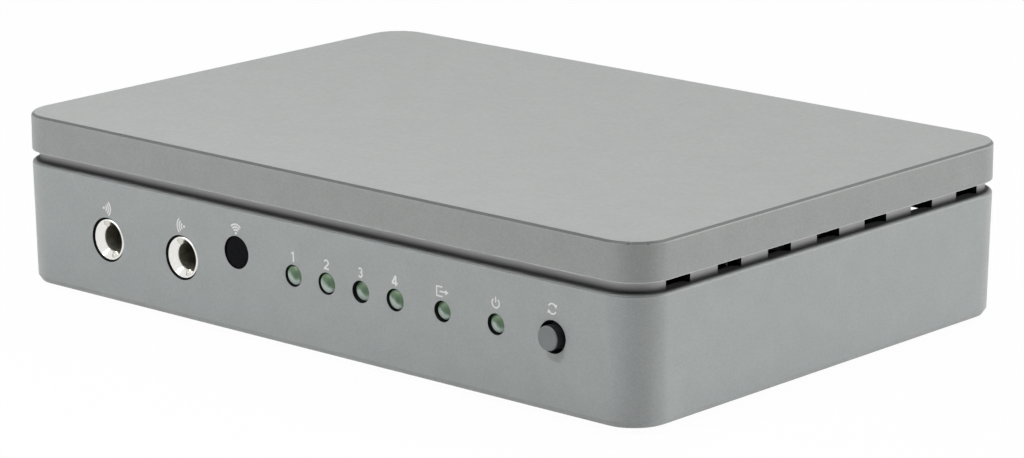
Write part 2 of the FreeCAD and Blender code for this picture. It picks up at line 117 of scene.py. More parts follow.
def mathsOn(tree, operation, *values):
    return addNode(tree, "ShaderNodeMath", dict(enumerate(values)), operation=operation).outputs[0]


def spread(tree, value, low, high, fromLow=0.0, fromHigh=1.0):
    settings = {
        "Value": value, "From Min": fromLow, "From Max": fromHigh, "To Min": low, "To Max": high,
    }
    return addNode(tree, "ShaderNodeMapRange", settings).outputs["Result"]


def blendColours(tree, factor, first, second, mode="MIX"):
    inputs = {0: factor, 6: first, 7: second}
    return addNode(tree, "ShaderNodeMix", inputs, data_type="RGBA", blend_type=mode).outputs[2]


def bumpFrom(tree, height, strength, distance):
    settings = {"Height": height, "Strength": strength, "Distance": distance}
    return addNode(tree, "ShaderNodeBump", settings).outputs["Normal"]


def grey(value, tint=(1.0, 1.0, 1.0)):
    return (value * tint[0], value * tint[1], value * tint[2], 1.0)


floorLook = {
    "size": 3.0,
    "gap": 0.00003,          # keeps the feet's undersides clear of the floor's face
    "bounce": 0.8,           # how pale the floor is to the light that falls on it
    "wash": 0.975,           # how far the camera and reflections see it as plain white
}


def seenDirectly(tree):
    # 1 for camera rays, reflections and rays through glass, 0 for light that is scattered
    path = addNode(tree, "ShaderNodeLightPath").outputs
    total = path["Is Camera Ray"]
    for ray in ("Is Glossy Ray", "Is Transmission Ray"):
        inputs = {0: total, 1: path[ray]}
        total = addNode(tree, "ShaderNodeMath", inputs, operation="ADD", use_clamp=True).outputs[0]
    return total


def makeFloor(look):
    half = look["size"] / 2
    mesh = bpy.data.meshes.new("deskFloor")
    corners = [(x * half, y * half, -look["gap"]) for x, y in ((-1, -1), (1, -1), (1, 1), (-1, 1))]
    mesh.from_pydata(corners, [], [(0, 1, 2, 3)])
    floor = linked("deskFloor", mesh)
    material, tree, shader = startMaterial("deskPaper")
    matt = {"Base Color": grey(look["bounce"]), "Roughness": 1.0, "Specular IOR Level": 0.0}
    feed(tree, shader, matt)
    white = addNode(tree, "ShaderNodeEmission", {"Color": grey(1.0)})
    share = spread(tree, seenDirectly(tree), 0.0, look["wash"])
    inputs = {0: share, 1: shader.outputs[0], 2: white.outputs[0]}
    mixed = addNode(tree, "ShaderNodeMixShader", inputs)
    output = next(node for node in tree.nodes if node.type == "OUTPUT_MATERIAL")
    feed(tree, output, {"Surface": mixed.outputs[0]})
    mesh.materials.append(material)


worldLook = {"ambient": 0.025, "seen": 1.0}


def makeWorld(look):
    world = bpy.data.worlds.new("paleStudio")
    bpy.context.scene.world = world
    world.use_nodes = True
    tree = world.node_tree
    tree.nodes.clear()
    strength = spread(tree, seenDirectly(tree), look["ambient"], look["seen"])
    backdrop = addNode(tree, "ShaderNodeBackground", {"Color": grey(1.0), "Strength": strength})
    addNode(tree, "ShaderNodeOutputWorld", {"Surface": backdrop.outputs[0]})


lampPlaces = {
    # name: place, aim, spread in degrees, size, watts
    "overhead": ((0.0, 0.4, 0.95), (0, 0, 0.012), 180, 0.8, 5.85),
    "rightRear": ((0.75, 0.6, 0.32), (0, 0, 0.012), 180, 0.6, 6.7),
    "leftFront": ((-0.5, -0.85, 0.32), (0, 0, 0.012), 180, 0.6, 2.12),
    "frontDesk": ((-0.2, -0.6, 0.8), (-0.04, -0.23, 0), 34, 0.25, 0.375),
}


def makeLamps(places):
    for name, (place, aim, cone, size, power) in places.items():
        data = bpy.data.lights.new(name, "AREA")
        data.shape = "DISK"
        data.size, data.spread, data.energy = size, math.radians(cone), power
        lamp = linked(name, data)
        lamp.location = place
        direction = Vector(aim) - Vector(place)
        lamp.rotation_euler = direction.to_track_quat("-Z", "Y").to_euler()


setCamera(viewPlace)
makeFloor(floorLook)
makeWorld(worldLook)
makeLamps(lampPlaces)
bpy.context.scene.view_settings.view_transform = "Standard"
print("camera, floor and lamps set")

# finishes
paintLook = {
    "flakeScale": 5200.0,    # flakes of about a fifth of a millimetre
    "flakeContrast": 0.055,
    "mottleScale": 260.0, "mottleContrast": 0.03,
    "grainScale": 3800.0, "grainHeight": 0.000012,
    "roughness": 0.42, "duller": 0.05, "glossier": 0.04,
}


def midSpread(tree, noise, low, high):
    # a noise keeps mostly to the middle of its range
    return spread(tree, noise, low, high, 0.3, 0.7)


def makePaint(name, colour, look):
    # satin grey with fine metallic flakes, a faint mottle and a moulded grain
    material, tree, shader = startMaterial(name)
    space = objectSpace(tree)
    flakes = addNode(tree, "ShaderNodeTexVoronoi", {"Vector": space, "Scale": look["flakeScale"]})
    flake = addNode(tree, "ShaderNodeSeparateColor", {"Color": flakes.outputs["Color"]}).outputs[0]
    sparkle, cloud = look["flakeContrast"], look["mottleContrast"]
    brightness = spread(tree, flake, 1.0 - sparkle, 1.0 + sparkle)
    mottle = midSpread(tree, noiseOn(tree, space, look["mottleScale"], 3.0), 1.0 - cloud, 1.0 + cloud)
    both = mathsOn(tree, "MULTIPLY", brightness, mottle)
    tone = addNode(tree, "ShaderNodeCombineColor", {0: both, 1: both, 2: both}).outputs[0]
    gloss = noiseOn(tree, space, look["mottleScale"] * 4)
    low, high = look["roughness"] - look["glossier"], look["roughness"] + look["duller"]
    feed(tree, shader, {
        "Base Color": blendColours(tree, 1.0, colour, tone, "MULTIPLY"),
        "Roughness": midSpread(tree, gloss, low, high),
        "Normal": bumpFrom(tree, noiseOn(tree, space, look["grainScale"]), 0.5, look["grainHeight"]),
    })
    return material


def twoTones(tree, pattern, colour, tone):
    # the colour, a little darker and lighter by turns
    light = tuple(min(1.0, c * (1 + tone)) for c in colour[:3]) + (1.0,)
    dark = tuple(c * (1 - tone) for c in colour[:3]) + (1.0,)
    return blendColours(tree, midSpread(tree, pattern, 0.0, 1.0), dark, light)


def makePlastic(name, colour, roughness, grainScale=2600.0, grainHeight=0.00001, tone=0.12, shine=0.5):
    # moulded plastic: a little variation in colour and gloss, and a fine grain
    material, tree, shader = startMaterial(name)
    space = objectSpace(tree)
    gloss = noiseOn(tree, space, 1500.0)
    feed(tree, shader, {
        "Base Color": twoTones(tree, noiseOn(tree, space, 700.0, 3.0), colour, tone),
        "Specular IOR Level": shine,
        "Roughness": midSpread(tree, gloss, roughness * 0.85, roughness * 1.15),
        "Normal": bumpFrom(tree, noiseOn(tree, space, grainScale, 3.0), 0.6, grainHeight),
    })
    return material


def makeMetal(name, colour, roughness, stretch=(1.0, 1.0, 1.0), tone=0.08, height=0.000004):
    # plated or rolled metal, with fine marks along the direction in which it was worked
    material, tree, shader = startMaterial(name)
    marks = addNode(tree, "ShaderNodeMapping", {"Vector": objectSpace(tree), "Scale": stretch})
    lines = noiseOn(tree, marks.outputs["Vector"], 2400.0, 4.0, 0.6)
    feed(tree, shader, {
        "Base Color": twoTones(tree, lines, colour, tone),
        "Metallic": 1.0,
        "Roughness": midSpread(tree, lines, roughness * 0.8, roughness * 1.25),
        "Normal": bumpFrom(tree, lines, 0.4, height),
    })
    return material


# the case's paint, and darker and lighter copies of it that are painted shade and painted highlight on
# its edges
caseColourAndLight = {
    "lid": grey(0.315, (0.974, 1.012, 0.988)),
    "edge": grey(0.12, (0.974, 1.012, 1.0)),      # painted shade on the lid's top edge and on the base's shoulder under the lid
    "lip": grey(0.62, (0.974, 1.012, 0.99)),      # painted highlight along the lid's lower edge
    "shoulder": grey(0.205, (0.955, 1.01, 1.0)),  # painted shade on the base's shoulder, in the joint
    # the same paint as the lid's, made lighter for the desk's light on the base's front: painted light
    "base": grey(0.37, (0.955, 1.01, 1.0)),
}
paintOf = {part: makePaint(part + "Paint", colour, paintLook) for part, colour in caseColourAndLight.items()}
blackNylon = makePlastic("blackNylon", grey(0.018), 0.42)
# one black button: its grey face is a painted highlight and its near-black sides are painted shade in the
# hole
buttonSideShade = makePlastic("buttonSidesShaded", grey(0.026, (1.0, 0.98, 1.18)), 0.5, tone=0.06, shine=0.2)
buttonFaceLit = makePlastic("buttonFaceLit", grey(0.192, (0.97, 1.04, 1.03)), 0.5, tone=0.05)
darkWindow = makePlastic(
    "darkWindowPlastic", grey(0.0052, (1.0, 1.0, 1.2)), 0.3, grainHeight=0.000002, shine=0.035,
)
receiverEpoxy = makePlastic("receiverEpoxy", grey(0.008), 0.12, grainHeight=0.000002)
# the black moulding, also used as painted shade on faces that the case shuts in
shellBlack = makePlastic("shellBlack", grey(0.016), 0.7, grainScale=2200.0, shine=0.04)
chipEpoxy = makePlastic("chipEpoxy", grey(0.02), 0.55, 5200.0, 0.00002)
ferriteGrey = makePlastic("ferriteGrey", grey(0.07), 0.6, 1800.0, 0.00004)
footRubber = makePlastic("footRubber", grey(0.016), 0.7, 1400.0, 0.00003)
ceramicTan = makePlastic("ceramicTan", (0.42, 0.33, 0.22, 1.0), 0.35)
whiteInk = makePlastic("whiteInk", grey(0.80, (1.0, 1.0, 0.98)), 0.5, 5200.0, 0.000003, tone=0.04)
steelSheet = makeMetal("socketSteel", grey(0.62), 0.24, (1.0, 0.15, 1.0))
tinLead = makeMetal("tinnedLead", grey(0.66), 0.3)
nickelRim = makeMetal("nickelRim", grey(0.80, (1.0, 0.99, 0.95)), 0.09, tone=0.03, height=0.000001)
sleeveMetal = makeMetal("sleeveMetal", grey(0.42, (1.0, 0.98, 0.84)), 0.42, (1.0, 6.0, 1.0), tone=0.35)
goldPlate = makeMetal("goldPlate", (0.80, 0.58, 0.26, 1.0), 0.22)
zincScrew = makeMetal("zincScrew", grey(0.42), 0.34)
canMetal = makeMetal("canMetal", grey(0.62), 0.3, (0.2, 0.2, 1.0))
blackAnodised = makeMetal("blackAnodised", grey(0.03), 0.38, (1.0, 0.1, 1.0))

maskLook = {
    "trackScale": 190.0, "trackDepth": 0.00003, "roughness": 0.28,
    "bare": (0.012, 0.085, 0.03, 1), "overTrack": (0.02, 0.14, 0.05, 1),
}


def makeBoardMask(name, look):
    # green solder mask over copper tracks, which show as slightly lighter and raised lines
    material, tree, shader = startMaterial(name)
    inputs = {"Vector": objectSpace(tree), "Scale": look["trackScale"]}
    cells = addNode(tree, "ShaderNodeTexVoronoi", inputs, distance="CHEBYCHEV")
    edge = spread(tree, cells.outputs["Distance"], 0.0, 1.0, 0.34, 0.36)
    feed(tree, shader, {
        "Base Color": blendColours(tree, edge, look["bare"], look["overTrack"]),
        "Roughness": look["roughness"],
        "Normal": bumpFrom(tree, edge, 0.5, look["trackDepth"]),
    })
    return material


lensLook = {
    "top": (0.113, 0.210, 0.100, 1),
    "middle": (0.108, 0.202, 0.110, 1),
    # painted highlight where the lens gathers the desk's light, low and to the left
    "bottom": (0.44, 0.53, 0.48, 1),
    "dieShade": (0.065, 0.145, 0.072, 1),        # painted shade round the die and its cup in the unlit lens
    "coreAt": (0.36, 0.0, 0.04),             # in radii from the middle
    "coreSize": 0.56,
    "lean": 0.45,                            # how far the green reaches down on the right
    "ripple": 0.16,
    "clear": 0.12, "roughness": 0.2, "ior": 1.5,
}


def makeLens(name, look):
    # unlit tinted epoxy, green, with a painted highlight below where it gathers the desk's light, and
    # painted shade round its die
    material, tree, shader = startMaterial(name)
    offset = addNode(tree, "ShaderNodeAttribute", attribute_name="lensPlace").outputs["Vector"]
    haze = noiseOn(tree, objectSpace(tree), 1700.0)
    parts = addNode(tree, "ShaderNodeSeparateXYZ", {0: offset}).outputs
    height = mathsOn(tree, "ADD", parts["Z"], midSpread(tree, haze, -look["ripple"], look["ripple"]))
    lean = mathsOn(tree, "MULTIPLY_ADD", parts["X"], look["lean"], height)
    upper = blendColours(tree, spread(tree, lean, 0.0, 1.0, 0.0, 0.75), look["middle"], look["top"])
    # the painted highlight in the lower part
    body = blendColours(tree, spread(tree, lean, 1.0, 0.0, -0.34, 0.12), upper, look["bottom"])
    # painted shade round the die
    inputs = {0: offset, 1: look["coreAt"]}
    fromDieShade = addNode(tree, "ShaderNodeVectorMath", inputs, operation="DISTANCE").outputs["Value"]
    near = spread(tree, fromDieShade, 1.0, 0.0, look["coreSize"] * 0.25, look["coreSize"])
    feed(tree, shader, {
        "Base Color": blendColours(tree, near, body, look["dieShade"]),
        "Roughness": look["roughness"], "IOR": look["ior"], "Transmission Weight": look["clear"],
        "Normal": bumpFrom(tree, haze, 0.1, 0.00001),
    })
    return material


boardMask = makeBoardMask("boardMask", maskLook)
greenLens = makeLens("greenLens", lensLook)
print("finishes made")

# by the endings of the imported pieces' names; the first that fits is taken
finishByEnding = {
    "base_shell": paintOf["base"], "lid_shell": paintOf["lid"], "_screws": zincScrew,
    "_feet": footRubber, "_board": boardMask, "_window": darkWindow, "_receiver": receiverEpoxy,
    "_button": buttonSideShade, "_cover": steelSheet, "switch_contacts": tinLead,
    "dc_jack_pin": tinLead, "dc_jack_spring": tinLead, "_housing": blackNylon, "_chip": chipEpoxy,
    "_heatsink": blackAnodised, "capacitors": canMetal, "_coil": ferriteGrey,
    "regulator": chipEpoxy, "crystal": canMetal, "_passives": ceramicTan,
    "_jack_body": blackNylon, "_jack_ferrule": nickelRim, "_jack_contacts": tinLead,
    "_lens": greenLens, "_leads": tinLead, "_shell": steelSheet, "_insulator": blackNylon,
    "_contacts": goldPlate,
}


def finishOf(name):
    return next(finish for ending, finish in finishByEnding.items() if name.endswith(ending))


for name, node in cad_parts.items():
    for place in range(len(node.material_slots)):
        node.material_slots[place].material = finishOf(name)
print("every packed piece has its finish")


# shapes
def addPiece(name, mesh, finish, stands=None, body="case"):
    piece = linked(name, mesh)
    places = [face.material_index for face in mesh.polygons]
    mesh.materials.clear()
    for part in finish if isinstance(finish, (list, tuple)) else [finish]:
        mesh.materials.append(part)
    mesh.polygons.foreach_set("material_index", places)
    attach(piece, body)
    if stands:
        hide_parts(stands)


def boxOf(node):
    low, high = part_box(node)
    return low, high, [(low[i] + high[i]) / 2 for i in range(3)]


def smooth(mesh, angle=40.0):
    mesh.polygons.foreach_set("use_smooth", [True] * len(mesh.polygons))
    mesh.set_sharp_from_angle(angle=math.radians(angle))
    return mesh


def evaluated(thing, *helpers):
    # the object's mesh with its modifiers applied; the object and its helpers are removed
    graph = bpy.context.evaluated_depsgraph_get()
    mesh = bpy.data.meshes.new_from_object(thing.evaluated_get(graph))
    thing.modifiers.clear()
    for used in (thing,) + helpers:
        bpy.data.objects.remove(used)
    return mesh


def settle(mesh, angle=40.0):
    # shades large flat faces flat and the small faces between them smooth
    holder = linked("holder", smooth(mesh, angle))
    holder.modifiers.new("weighted", "WEIGHTED_NORMAL").keep_sharp = True
    return evaluated(holder)


def meshFrom(bm, name):
    bmesh.ops.recalc_face_normals(bm, faces=bm.faces)
    mesh = bpy.data.meshes.new(name)
    bm.to_mesh(mesh)
    bm.free()
    return mesh


def arc(centreAlong, centreOut, radius, start, end, steps):
    # points of a rounded edge in a profile; 0 degrees is outwards, 90 is forwards along the axis
    points = []
    for i in range(steps + 1):
        angle = math.radians(start + (end - start) * i / steps)
        points.append((centreAlong + radius * math.sin(angle), centreOut + radius * math.cos(angle)))
    return points


def turned(bm, profile, centre, axis, count=64, closed=False):
    # turns a profile of (distance along the axis, radius) round the axis; a radius of 0 is a pole,
    # and a closed profile comes back to its first point
    along = {"Y": Vector((0, 1, 0)), "Z": Vector((0, 0, 1))}[axis]
    across = Vector((1, 0, 0))
    other = along.cross(across)
    rings = []
    for distance, radius in profile:
        middle = Vector(centre) + along * distance
        if radius < 1e-9:
            rings.append([bm.verts.new(middle)])
            continue
        ring = []
        for i in range(count):
            angle = 2 * math.pi * i / count
            offset = across * math.cos(angle) + other * math.sin(angle)
            ring.append(bm.verts.new(middle + offset * radius))
        rings.append(ring)
    for first, second in zip(rings, rings[1:] + (rings[:1] if closed else [])):
        for i in range(count):
            j = (i + 1) % count
            if len(first) == 1:
                bm.faces.new((first[0], second[j], second[i]))
            elif len(second) == 1:
                bm.faces.new((first[i], first[j], second[0]))
            else:
                bm.faces.new((first[i], first[j], second[j], second[i]))


def turnedMesh(name, profile, centre, axis, count, closed=False):
    bm = bmesh.new()
    turned(bm, profile, centre, axis, count, closed)
    return meshFrom(bm, name)


def plainBox(bm, low, high):
    corners = bmesh.ops.create_cube(bm, size=1.0)["verts"]
    for vert in corners:
        vert.co = Vector([low[i] + (vert.co[i] + 0.5) * (high[i] - low[i]) for i in range(3)])
    return corners


def roundEdges(bm, edges, radius, steps, profile=0.5):
    bmesh.ops.bevel(
        bm, geom=edges, offset=radius, offset_type="OFFSET", segments=steps, profile=profile,
        affect="EDGES", clamp_overlap=True,
    )


def easedBox(bm, low, high, radius, steps=2, profile=0.5):
    edges = dict.fromkeys(edge for vert in plainBox(bm, low, high) for edge in vert.link_edges)
    roundEdges(bm, list(edges), radius, steps, profile)


def packedShape(nodeName):
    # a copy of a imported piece, whose loose triangles are merged into whole faces
    bm = bmesh.new()
    bm.from_mesh(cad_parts[nodeName].data)
    bmesh.ops.remove_doubles(bm, verts=bm.verts, dist=2e-7)
    bmesh.ops.dissolve_limit(bm, angle_limit=math.radians(0.6), verts=bm.verts, edges=bm.edges)
    return bm


def dropLayers(mesh):
    for leftover in ("custom_normal", "UVMap"):
        layer = mesh.attributes.get(leftover)
        if layer is not None:
            mesh.attributes.remove(layer)
    return mesh


def bendOf(edge):
    return math.degrees(edge.calc_face_angle(0)) if len(edge.link_faces) == 2 else 0.0


# the two halves of the case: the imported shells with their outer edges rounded
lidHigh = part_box("lid_shell")[1]
baseLow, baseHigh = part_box("base_shell")
lidEdgeZ = baseHigh[2]
skinShape = {
    "joint": 1.5 * mm,
    "corner": 5.7 * mm,
    "baseDraft": 0.9,        # degrees; the moulding's own draft is finer than the frame's
    "frameDraft": 1.8,
    "drop": 0.25 * mm,       # how far the underside reaches below the frame's
    "dropBelow": 0.35 * mm, "footHeight": 0.6 * mm,
    "depth": 0.6 * mm,       # what counts as the outer surface
    "cornerSquare": 2.6 * mm, "lidReach": 0.9 * mm, "baseReach": 1.15 * mm,
    "lidEdge": 0.36 * mm, "baseEdge": 0.34 * mm, "shoulderEdge": 0.74 * mm,
    "steps": 5,              # faces round each edge
    "sharp": 30,             # degrees at an edge that gets rounded
    "hair": 0.02 * mm,
}
shoulderZ = lidEdgeZ - skinShape["joint"]
frameSlope = math.tan(math.radians(skinShape["frameDraft"]))
frontSlope = math.tan(math.radians(skinShape["baseDraft"]))


def roundedShell(nodeName, shape, rounds):
    bm = packedShape(nodeName)
    for radius, chosen in rounds:
        edges = [
            edge for edge in bm.edges
            if bendOf(edge) > shape["sharp"] and chosen((edge.verts[0].co + edge.verts[1].co) / 2)
        ]
        print("  ", nodeName, "edges to round:", len(edges))
        roundEdges(bm, edges, radius, shape["steps"])
    mesh = bpy.data.meshes.new(nodeName + "Skin")
    bm.to_mesh(mesh)
    bm.free()
    return settle(dropLayers(mesh), 35)


def nearSides(point, reach):
    inX, inY = lidHigh[0] - abs(point.x), lidHigh[1] - abs(point.y)
    return min(inX, inY) < reach or max(inX, inY) < skinShape["cornerSquare"]


def onLidOutside(point):
    return nearSides(point, skinShape["lidReach"])


def onUnderside(point):
    return point.z < baseLow[2] + skinShape["footHeight"] and nearSides(point, skinShape["baseReach"])


def onShoulder(point):
    # the base's top edge, by how far it is in from the outline, whose corners are round
    corner = skinShape["corner"]
    dx, dy = (abs(point[i]) - (lidHigh[i] - corner) for i in range(2))
    inside = corner - math.hypot(dx, dy) if dx > 0 and dy > 0 else min(corner - dx, corner - dy)
    return shoulderZ - 0.5 * mm < point.z < shoulderZ + 0.1 * mm and inside < 0.5 * mm


holeShape = {
    # ending of the piece in the hole: the hole's radius in the frame, and the moulding's
    "_lens": (1.65 * mm, 1.53 * mm),
    "output_lens": (1.53 * mm, 1.44 * mm),
    "power_lens": (1.53 * mm, 1.44 * mm),
    "_jack_ferrule": (3.25 * mm, 3.16 * mm),
    "select_button": (2.15 * mm, 2.2 * mm),
}


def refineHoles(mesh, sizes, wall=3 * mm):
    for ending, (old, new) in sizes.items():
        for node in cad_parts:
            if not node.endswith(ending):
                continue
            x, _, z = boxOf(node)[2]
            for vert in mesh.vertices:
                away = math.hypot(vert.co.x - x, vert.co.z - z)
                if vert.co.y < baseLow[1] + wall and abs(away - old) < skinShape["hair"]:
                    vert.co.x = x + (vert.co.x - x) * new / old
                    vert.co.z = z + (vert.co.z - z) * new / old


def easeDraft(mesh, look, change, level):
    # moves the outer surface outwards by the change in its slope times its distance from a level
    for vert in mesh.vertices:
        away = abs(vert.co.z - level)
        inset = away * frameSlope
        beyond = [lidHigh[i] - inset - look["corner"] - abs(vert.co[i]) for i in range(2)]
        if beyond[0] < 1e-5 and beyond[1] < 1e-5:
            outer = math.hypot(*beyond) > look["corner"] - look["depth"]
        else:
            outer = min(beyond) < look["depth"] - look["corner"]
        for i in range(2):
            if outer and beyond[i] < 1e-5:
                vert.co[i] += math.copysign(away * change, vert.co[i])


def dropUnderside(mesh, look):
    for vert in mesh.vertices:
        if vert.co.z < baseLow[2] + look["dropBelow"]:
            vert.co.z -= look["drop"]


# painted shade in the joint: dark at the shoulder (foot), pale by the lid (head)
jointShadeLook = {"foot": 0.055, "head": 0.62, "power": 0.95, "shine": 0.12}


def makeJointShade(name, look):
    # the black moulding in the joint between the halves, grey by the lid and darker down to the base's
    # shoulder: the darkening is painted shade in the recess
    material, tree, shader = startMaterial(name)
    space = objectSpace(tree)
    height = addNode(tree, "ShaderNodeSeparateXYZ", {0: space}).outputs["Z"]
    share = spread(tree, height, 0.0, 1.0, shoulderZ + 0.15 * mm, baseHigh[2] - 0.1 * mm)
    cover = mathsOn(tree, "POWER", share, look["power"])
    speckle = noiseOn(tree, space, 3800.0)
    feed(tree, shader, {
        "Base Color": blendColours(tree, cover, grey(look["foot"]), grey(look["head"])),
        "Specular IOR Level": look["shine"],
        "Roughness": midSpread(tree, speckle, 0.5, 0.7),
        "Normal": bumpFrom(tree, speckle, 0.5, 0.00001),
    })
    return material


# places of the finishes on both halves; the last is a painted highlight on the lid's lower lip and
# painted shade on the base's shoulder
painted, black, rim, edge, lipLightShoulderShade = range(5)


def paintOutside(shells, reach=0.3):
    # faces that see nothing else of the case are painted; faces that look onto another part of it close
    # by take the black finish: the black moulding inside, in holes and slots, and painted shade where the
    # case shuts them in
    points, faces = [], []
    for mesh in shells:
        start = len(points)
        points += [vert.co.copy() for vert in mesh.vertices]
        faces += [[start + corner for corner in face.vertices] for face in mesh.polygons]
    around = BVHTree.FromPolygons(points, faces)
    hair = skinShape["hair"]
    roundFrom = shoulderZ - skinShape["shoulderEdge"] - 0.05 * mm
    for mesh in shells:
        for face in mesh.polygons:
            middle, normal = face.center, face.normal
            start = mesh.vertices[face.vertices[0]].co * 0.001 + middle * 0.999
            hit = around.ray_cast(start + normal * 0.01 * mm, normal, reach)
            outwards = normal.dot(Vector(middle[:2] + (0,))) > 0
            onRound = roundFrom < middle.z < shoulderZ - 0.003 * mm and 0.05 < normal.z < 0.995
            # painted shade on the base's rounded shoulder: darkest on the faces that look up at the lid,
            # lighter lower down
            if onRound and outwards:
                face.material_index = edge if normal.z > 0.8 else lipLightShoulderShade if normal.z > 0.35 else painted
            # the shoulder's flat shelf in the joint takes the joint's finish at its darkest: painted
            # shade
            elif abs(middle.z - shoulderZ) < hair and normal.z > 0.9:
                face.material_index = rim
            # painted shade where a face is shut in by the case, on the black moulding
            elif hit[0] is not None:
                face.material_index = black
            else:
                # the joint's wall takes the joint's finish, whose darkening downwards is painted shade
                inRim = shoulderZ < middle.z < lidEdgeZ + hair and abs(normal.z) < 0.5
                face.material_index = rim if inRim else painted


def shadeAndLightLidEdges(mesh, lip=0.4 * mm):
    for face in mesh.polygons:
        slope = face.normal.z
        # painted shade on the lid's rounded top edge
        if face.material_index == painted and 0.6 < slope < 0.95:
            face.material_index = edge
        # painted highlight on the lid's lower lip, just above the joint
        low = -0.95 < slope < -0.1 and face.center.z < lidEdgeZ + lip
        if face.material_index in (painted, rim) and low:
            face.material_index = lipLightShoulderShade


def makeHalves(shape):
    lidSkin = roundedShell("lid_shell", shape, [(shape["lidEdge"], onLidOutside)])
    rounds = [(shape["shoulderEdge"], onShoulder), (shape["baseEdge"], onUnderside)]
    baseSkin = roundedShell("base_shell", shape, rounds)
    refineHoles(baseSkin, holeShape)
    dropUnderside(baseSkin, shape)
    easeDraft(baseSkin, shape, frameSlope - frontSlope, shoulderZ)
    easeDraft(lidSkin, shape, frameSlope, lidEdgeZ)
    paintOutside((lidSkin, baseSkin))
    shadeAndLightLidEdges(lidSkin)
    shared = (shellBlack, makeJointShade("jointShadePaint", jointShadeLook), paintOf["edge"])
    addPiece("lidSkin", lidSkin, (paintOf["lid"],) + shared + (paintOf["lip"],), "lid_shell")
    addPiece("baseSkin", baseSkin, (paintOf["base"],) + shared + (paintOf["shoulder"],), "base_shell")


makeHalves(skinShape)
print("case halves made")


# front face: indicator lights, jacks, infrared window, button and printed marks
def frontAt(z):
    return baseLow[1] + (shoulderZ - z) * frontSlope


def faceShift(z):
    # how much further out the front face is here than in the frame
    return (shoulderZ - z) * (frameSlope - frontSlope)


lightNames = ("input_1", "input_2", "input_3", "input_4", "output", "power")
lensShape = {
    "up": 0.06 * mm,         # the lens sits a little high in its hole
    "slim": 0.94,            # it tapers towards the front,
    "slimmer": 0.87,         # and more at the output and power lights
    "domeHeight": 0.36 * mm, "baseBevel": 0.15 * mm,
    "cupStart": 2.0 * mm, "cupDepth": 0.7 * mm, "cupRadius": 0.85 * mm, "cupFloor": 0.5 * mm,
    "cupRim": 1.1, "cupBack": 1.4, "postFrom": 1.2,    # shares of the cup's radius and depth
    "postWidth": 0.45 * mm, "postAt": 0.6985 * mm, "postTrim": 0.02,
    # how much nearer the face each light was pushed before it was soldered
    "forward": {
        "input_1": 0.05 * mm, "input_2": 0.05 * mm, "input_3": 0.22 * mm, "input_4": 0.2 * mm,
        "output": 0.28 * mm, "power": 0.12 * mm,
    },
}


def makeLight(name, shape):
    node = "led_" + name + "_lens"
    low, high, (x, _, z) = boxOf(node)
    z += shape["up"]
    radius = (high[0] - low[0]) / 2 * shape["slim" if name.startswith("input") else "slimmer"]
    tip = low[1] - faceShift(z) - shape["forward"][name]
    length = high[1] - tip
    rise, bevel = shape["domeHeight"], shape["baseBevel"]
    bows = [math.radians(5 * i) for i in range(19)]
    profile = [(rise * (1 - math.cos(a)), radius * math.sin(a)) for a in bows]
    profile += arc(length - bevel, radius - bevel, bevel, 0, 90, 3) + [(length, 0)]
    mesh = smooth(turnedMesh("light_" + name, profile, (x, tip, z), "Y", 48), 50)
    offsets = mesh.attributes.new("lensPlace", "FLOAT_VECTOR", "POINT")
    for vert in mesh.vertices:
        offsets.data[vert.index].vector = ((vert.co.x - x) / radius, 0.0, (vert.co.z - z) / radius)
    addPiece("light_" + name, mesh, greenLens, node)
    # the die's cup and its bond posts, seen through the epoxy
    start, depth, cup = shape["cupStart"], shape["cupDepth"], shape["cupRadius"]
    floor, back = start + depth, start + depth * shape["cupBack"]
    bm = bmesh.new()
    profile = [(floor, 0), (floor, shape["cupFloor"]), (start, cup)]
    profile += [(start, cup * shape["cupRim"]), (back, cup), (back, 0)]
    turned(bm, profile, (x, tip, z), "Y", 32)
    half = shape["postWidth"] / 2
    front, end = tip + start + depth * shape["postFrom"], tip + length
    trim = (end - front) * shape["postTrim"]
    for side in (-1, 1):
        at = x + side * shape["postAt"]
        plainBox(bm, (at - half, front + trim, z - half), (at + half, end - trim, z + half))
    cupMesh = smooth(meshFrom(bm, "lightCup_" + name), 30)
    addPiece("lightCup_" + name, cupMesh, tinLead)


for lightName in lightNames:
    makeLight(lightName, lensShape)
print("indicator lights made")

ferruleShape = {
    "forward": 0.08 * mm, "lip": 0.26 * mm, "lipWidth": 0.16 * mm, "boreRadius": 1.8 * mm,
    "funnelFrom": 0.06, "funnelEnd": 0.9 * mm,
    "throat": 1.02,          # a straight throat that just eases into the bore
    "lipBreak": 0.06 * mm, "rootBevel": 0.12 * mm,
    "sleeveRadius": 1.765 * mm, "sleeveDepth": 4.2 * mm, "sleeveStep": 0.25 * mm,
    "liningInside": 0.004 * mm, "metalInside": 0.01 * mm,
}


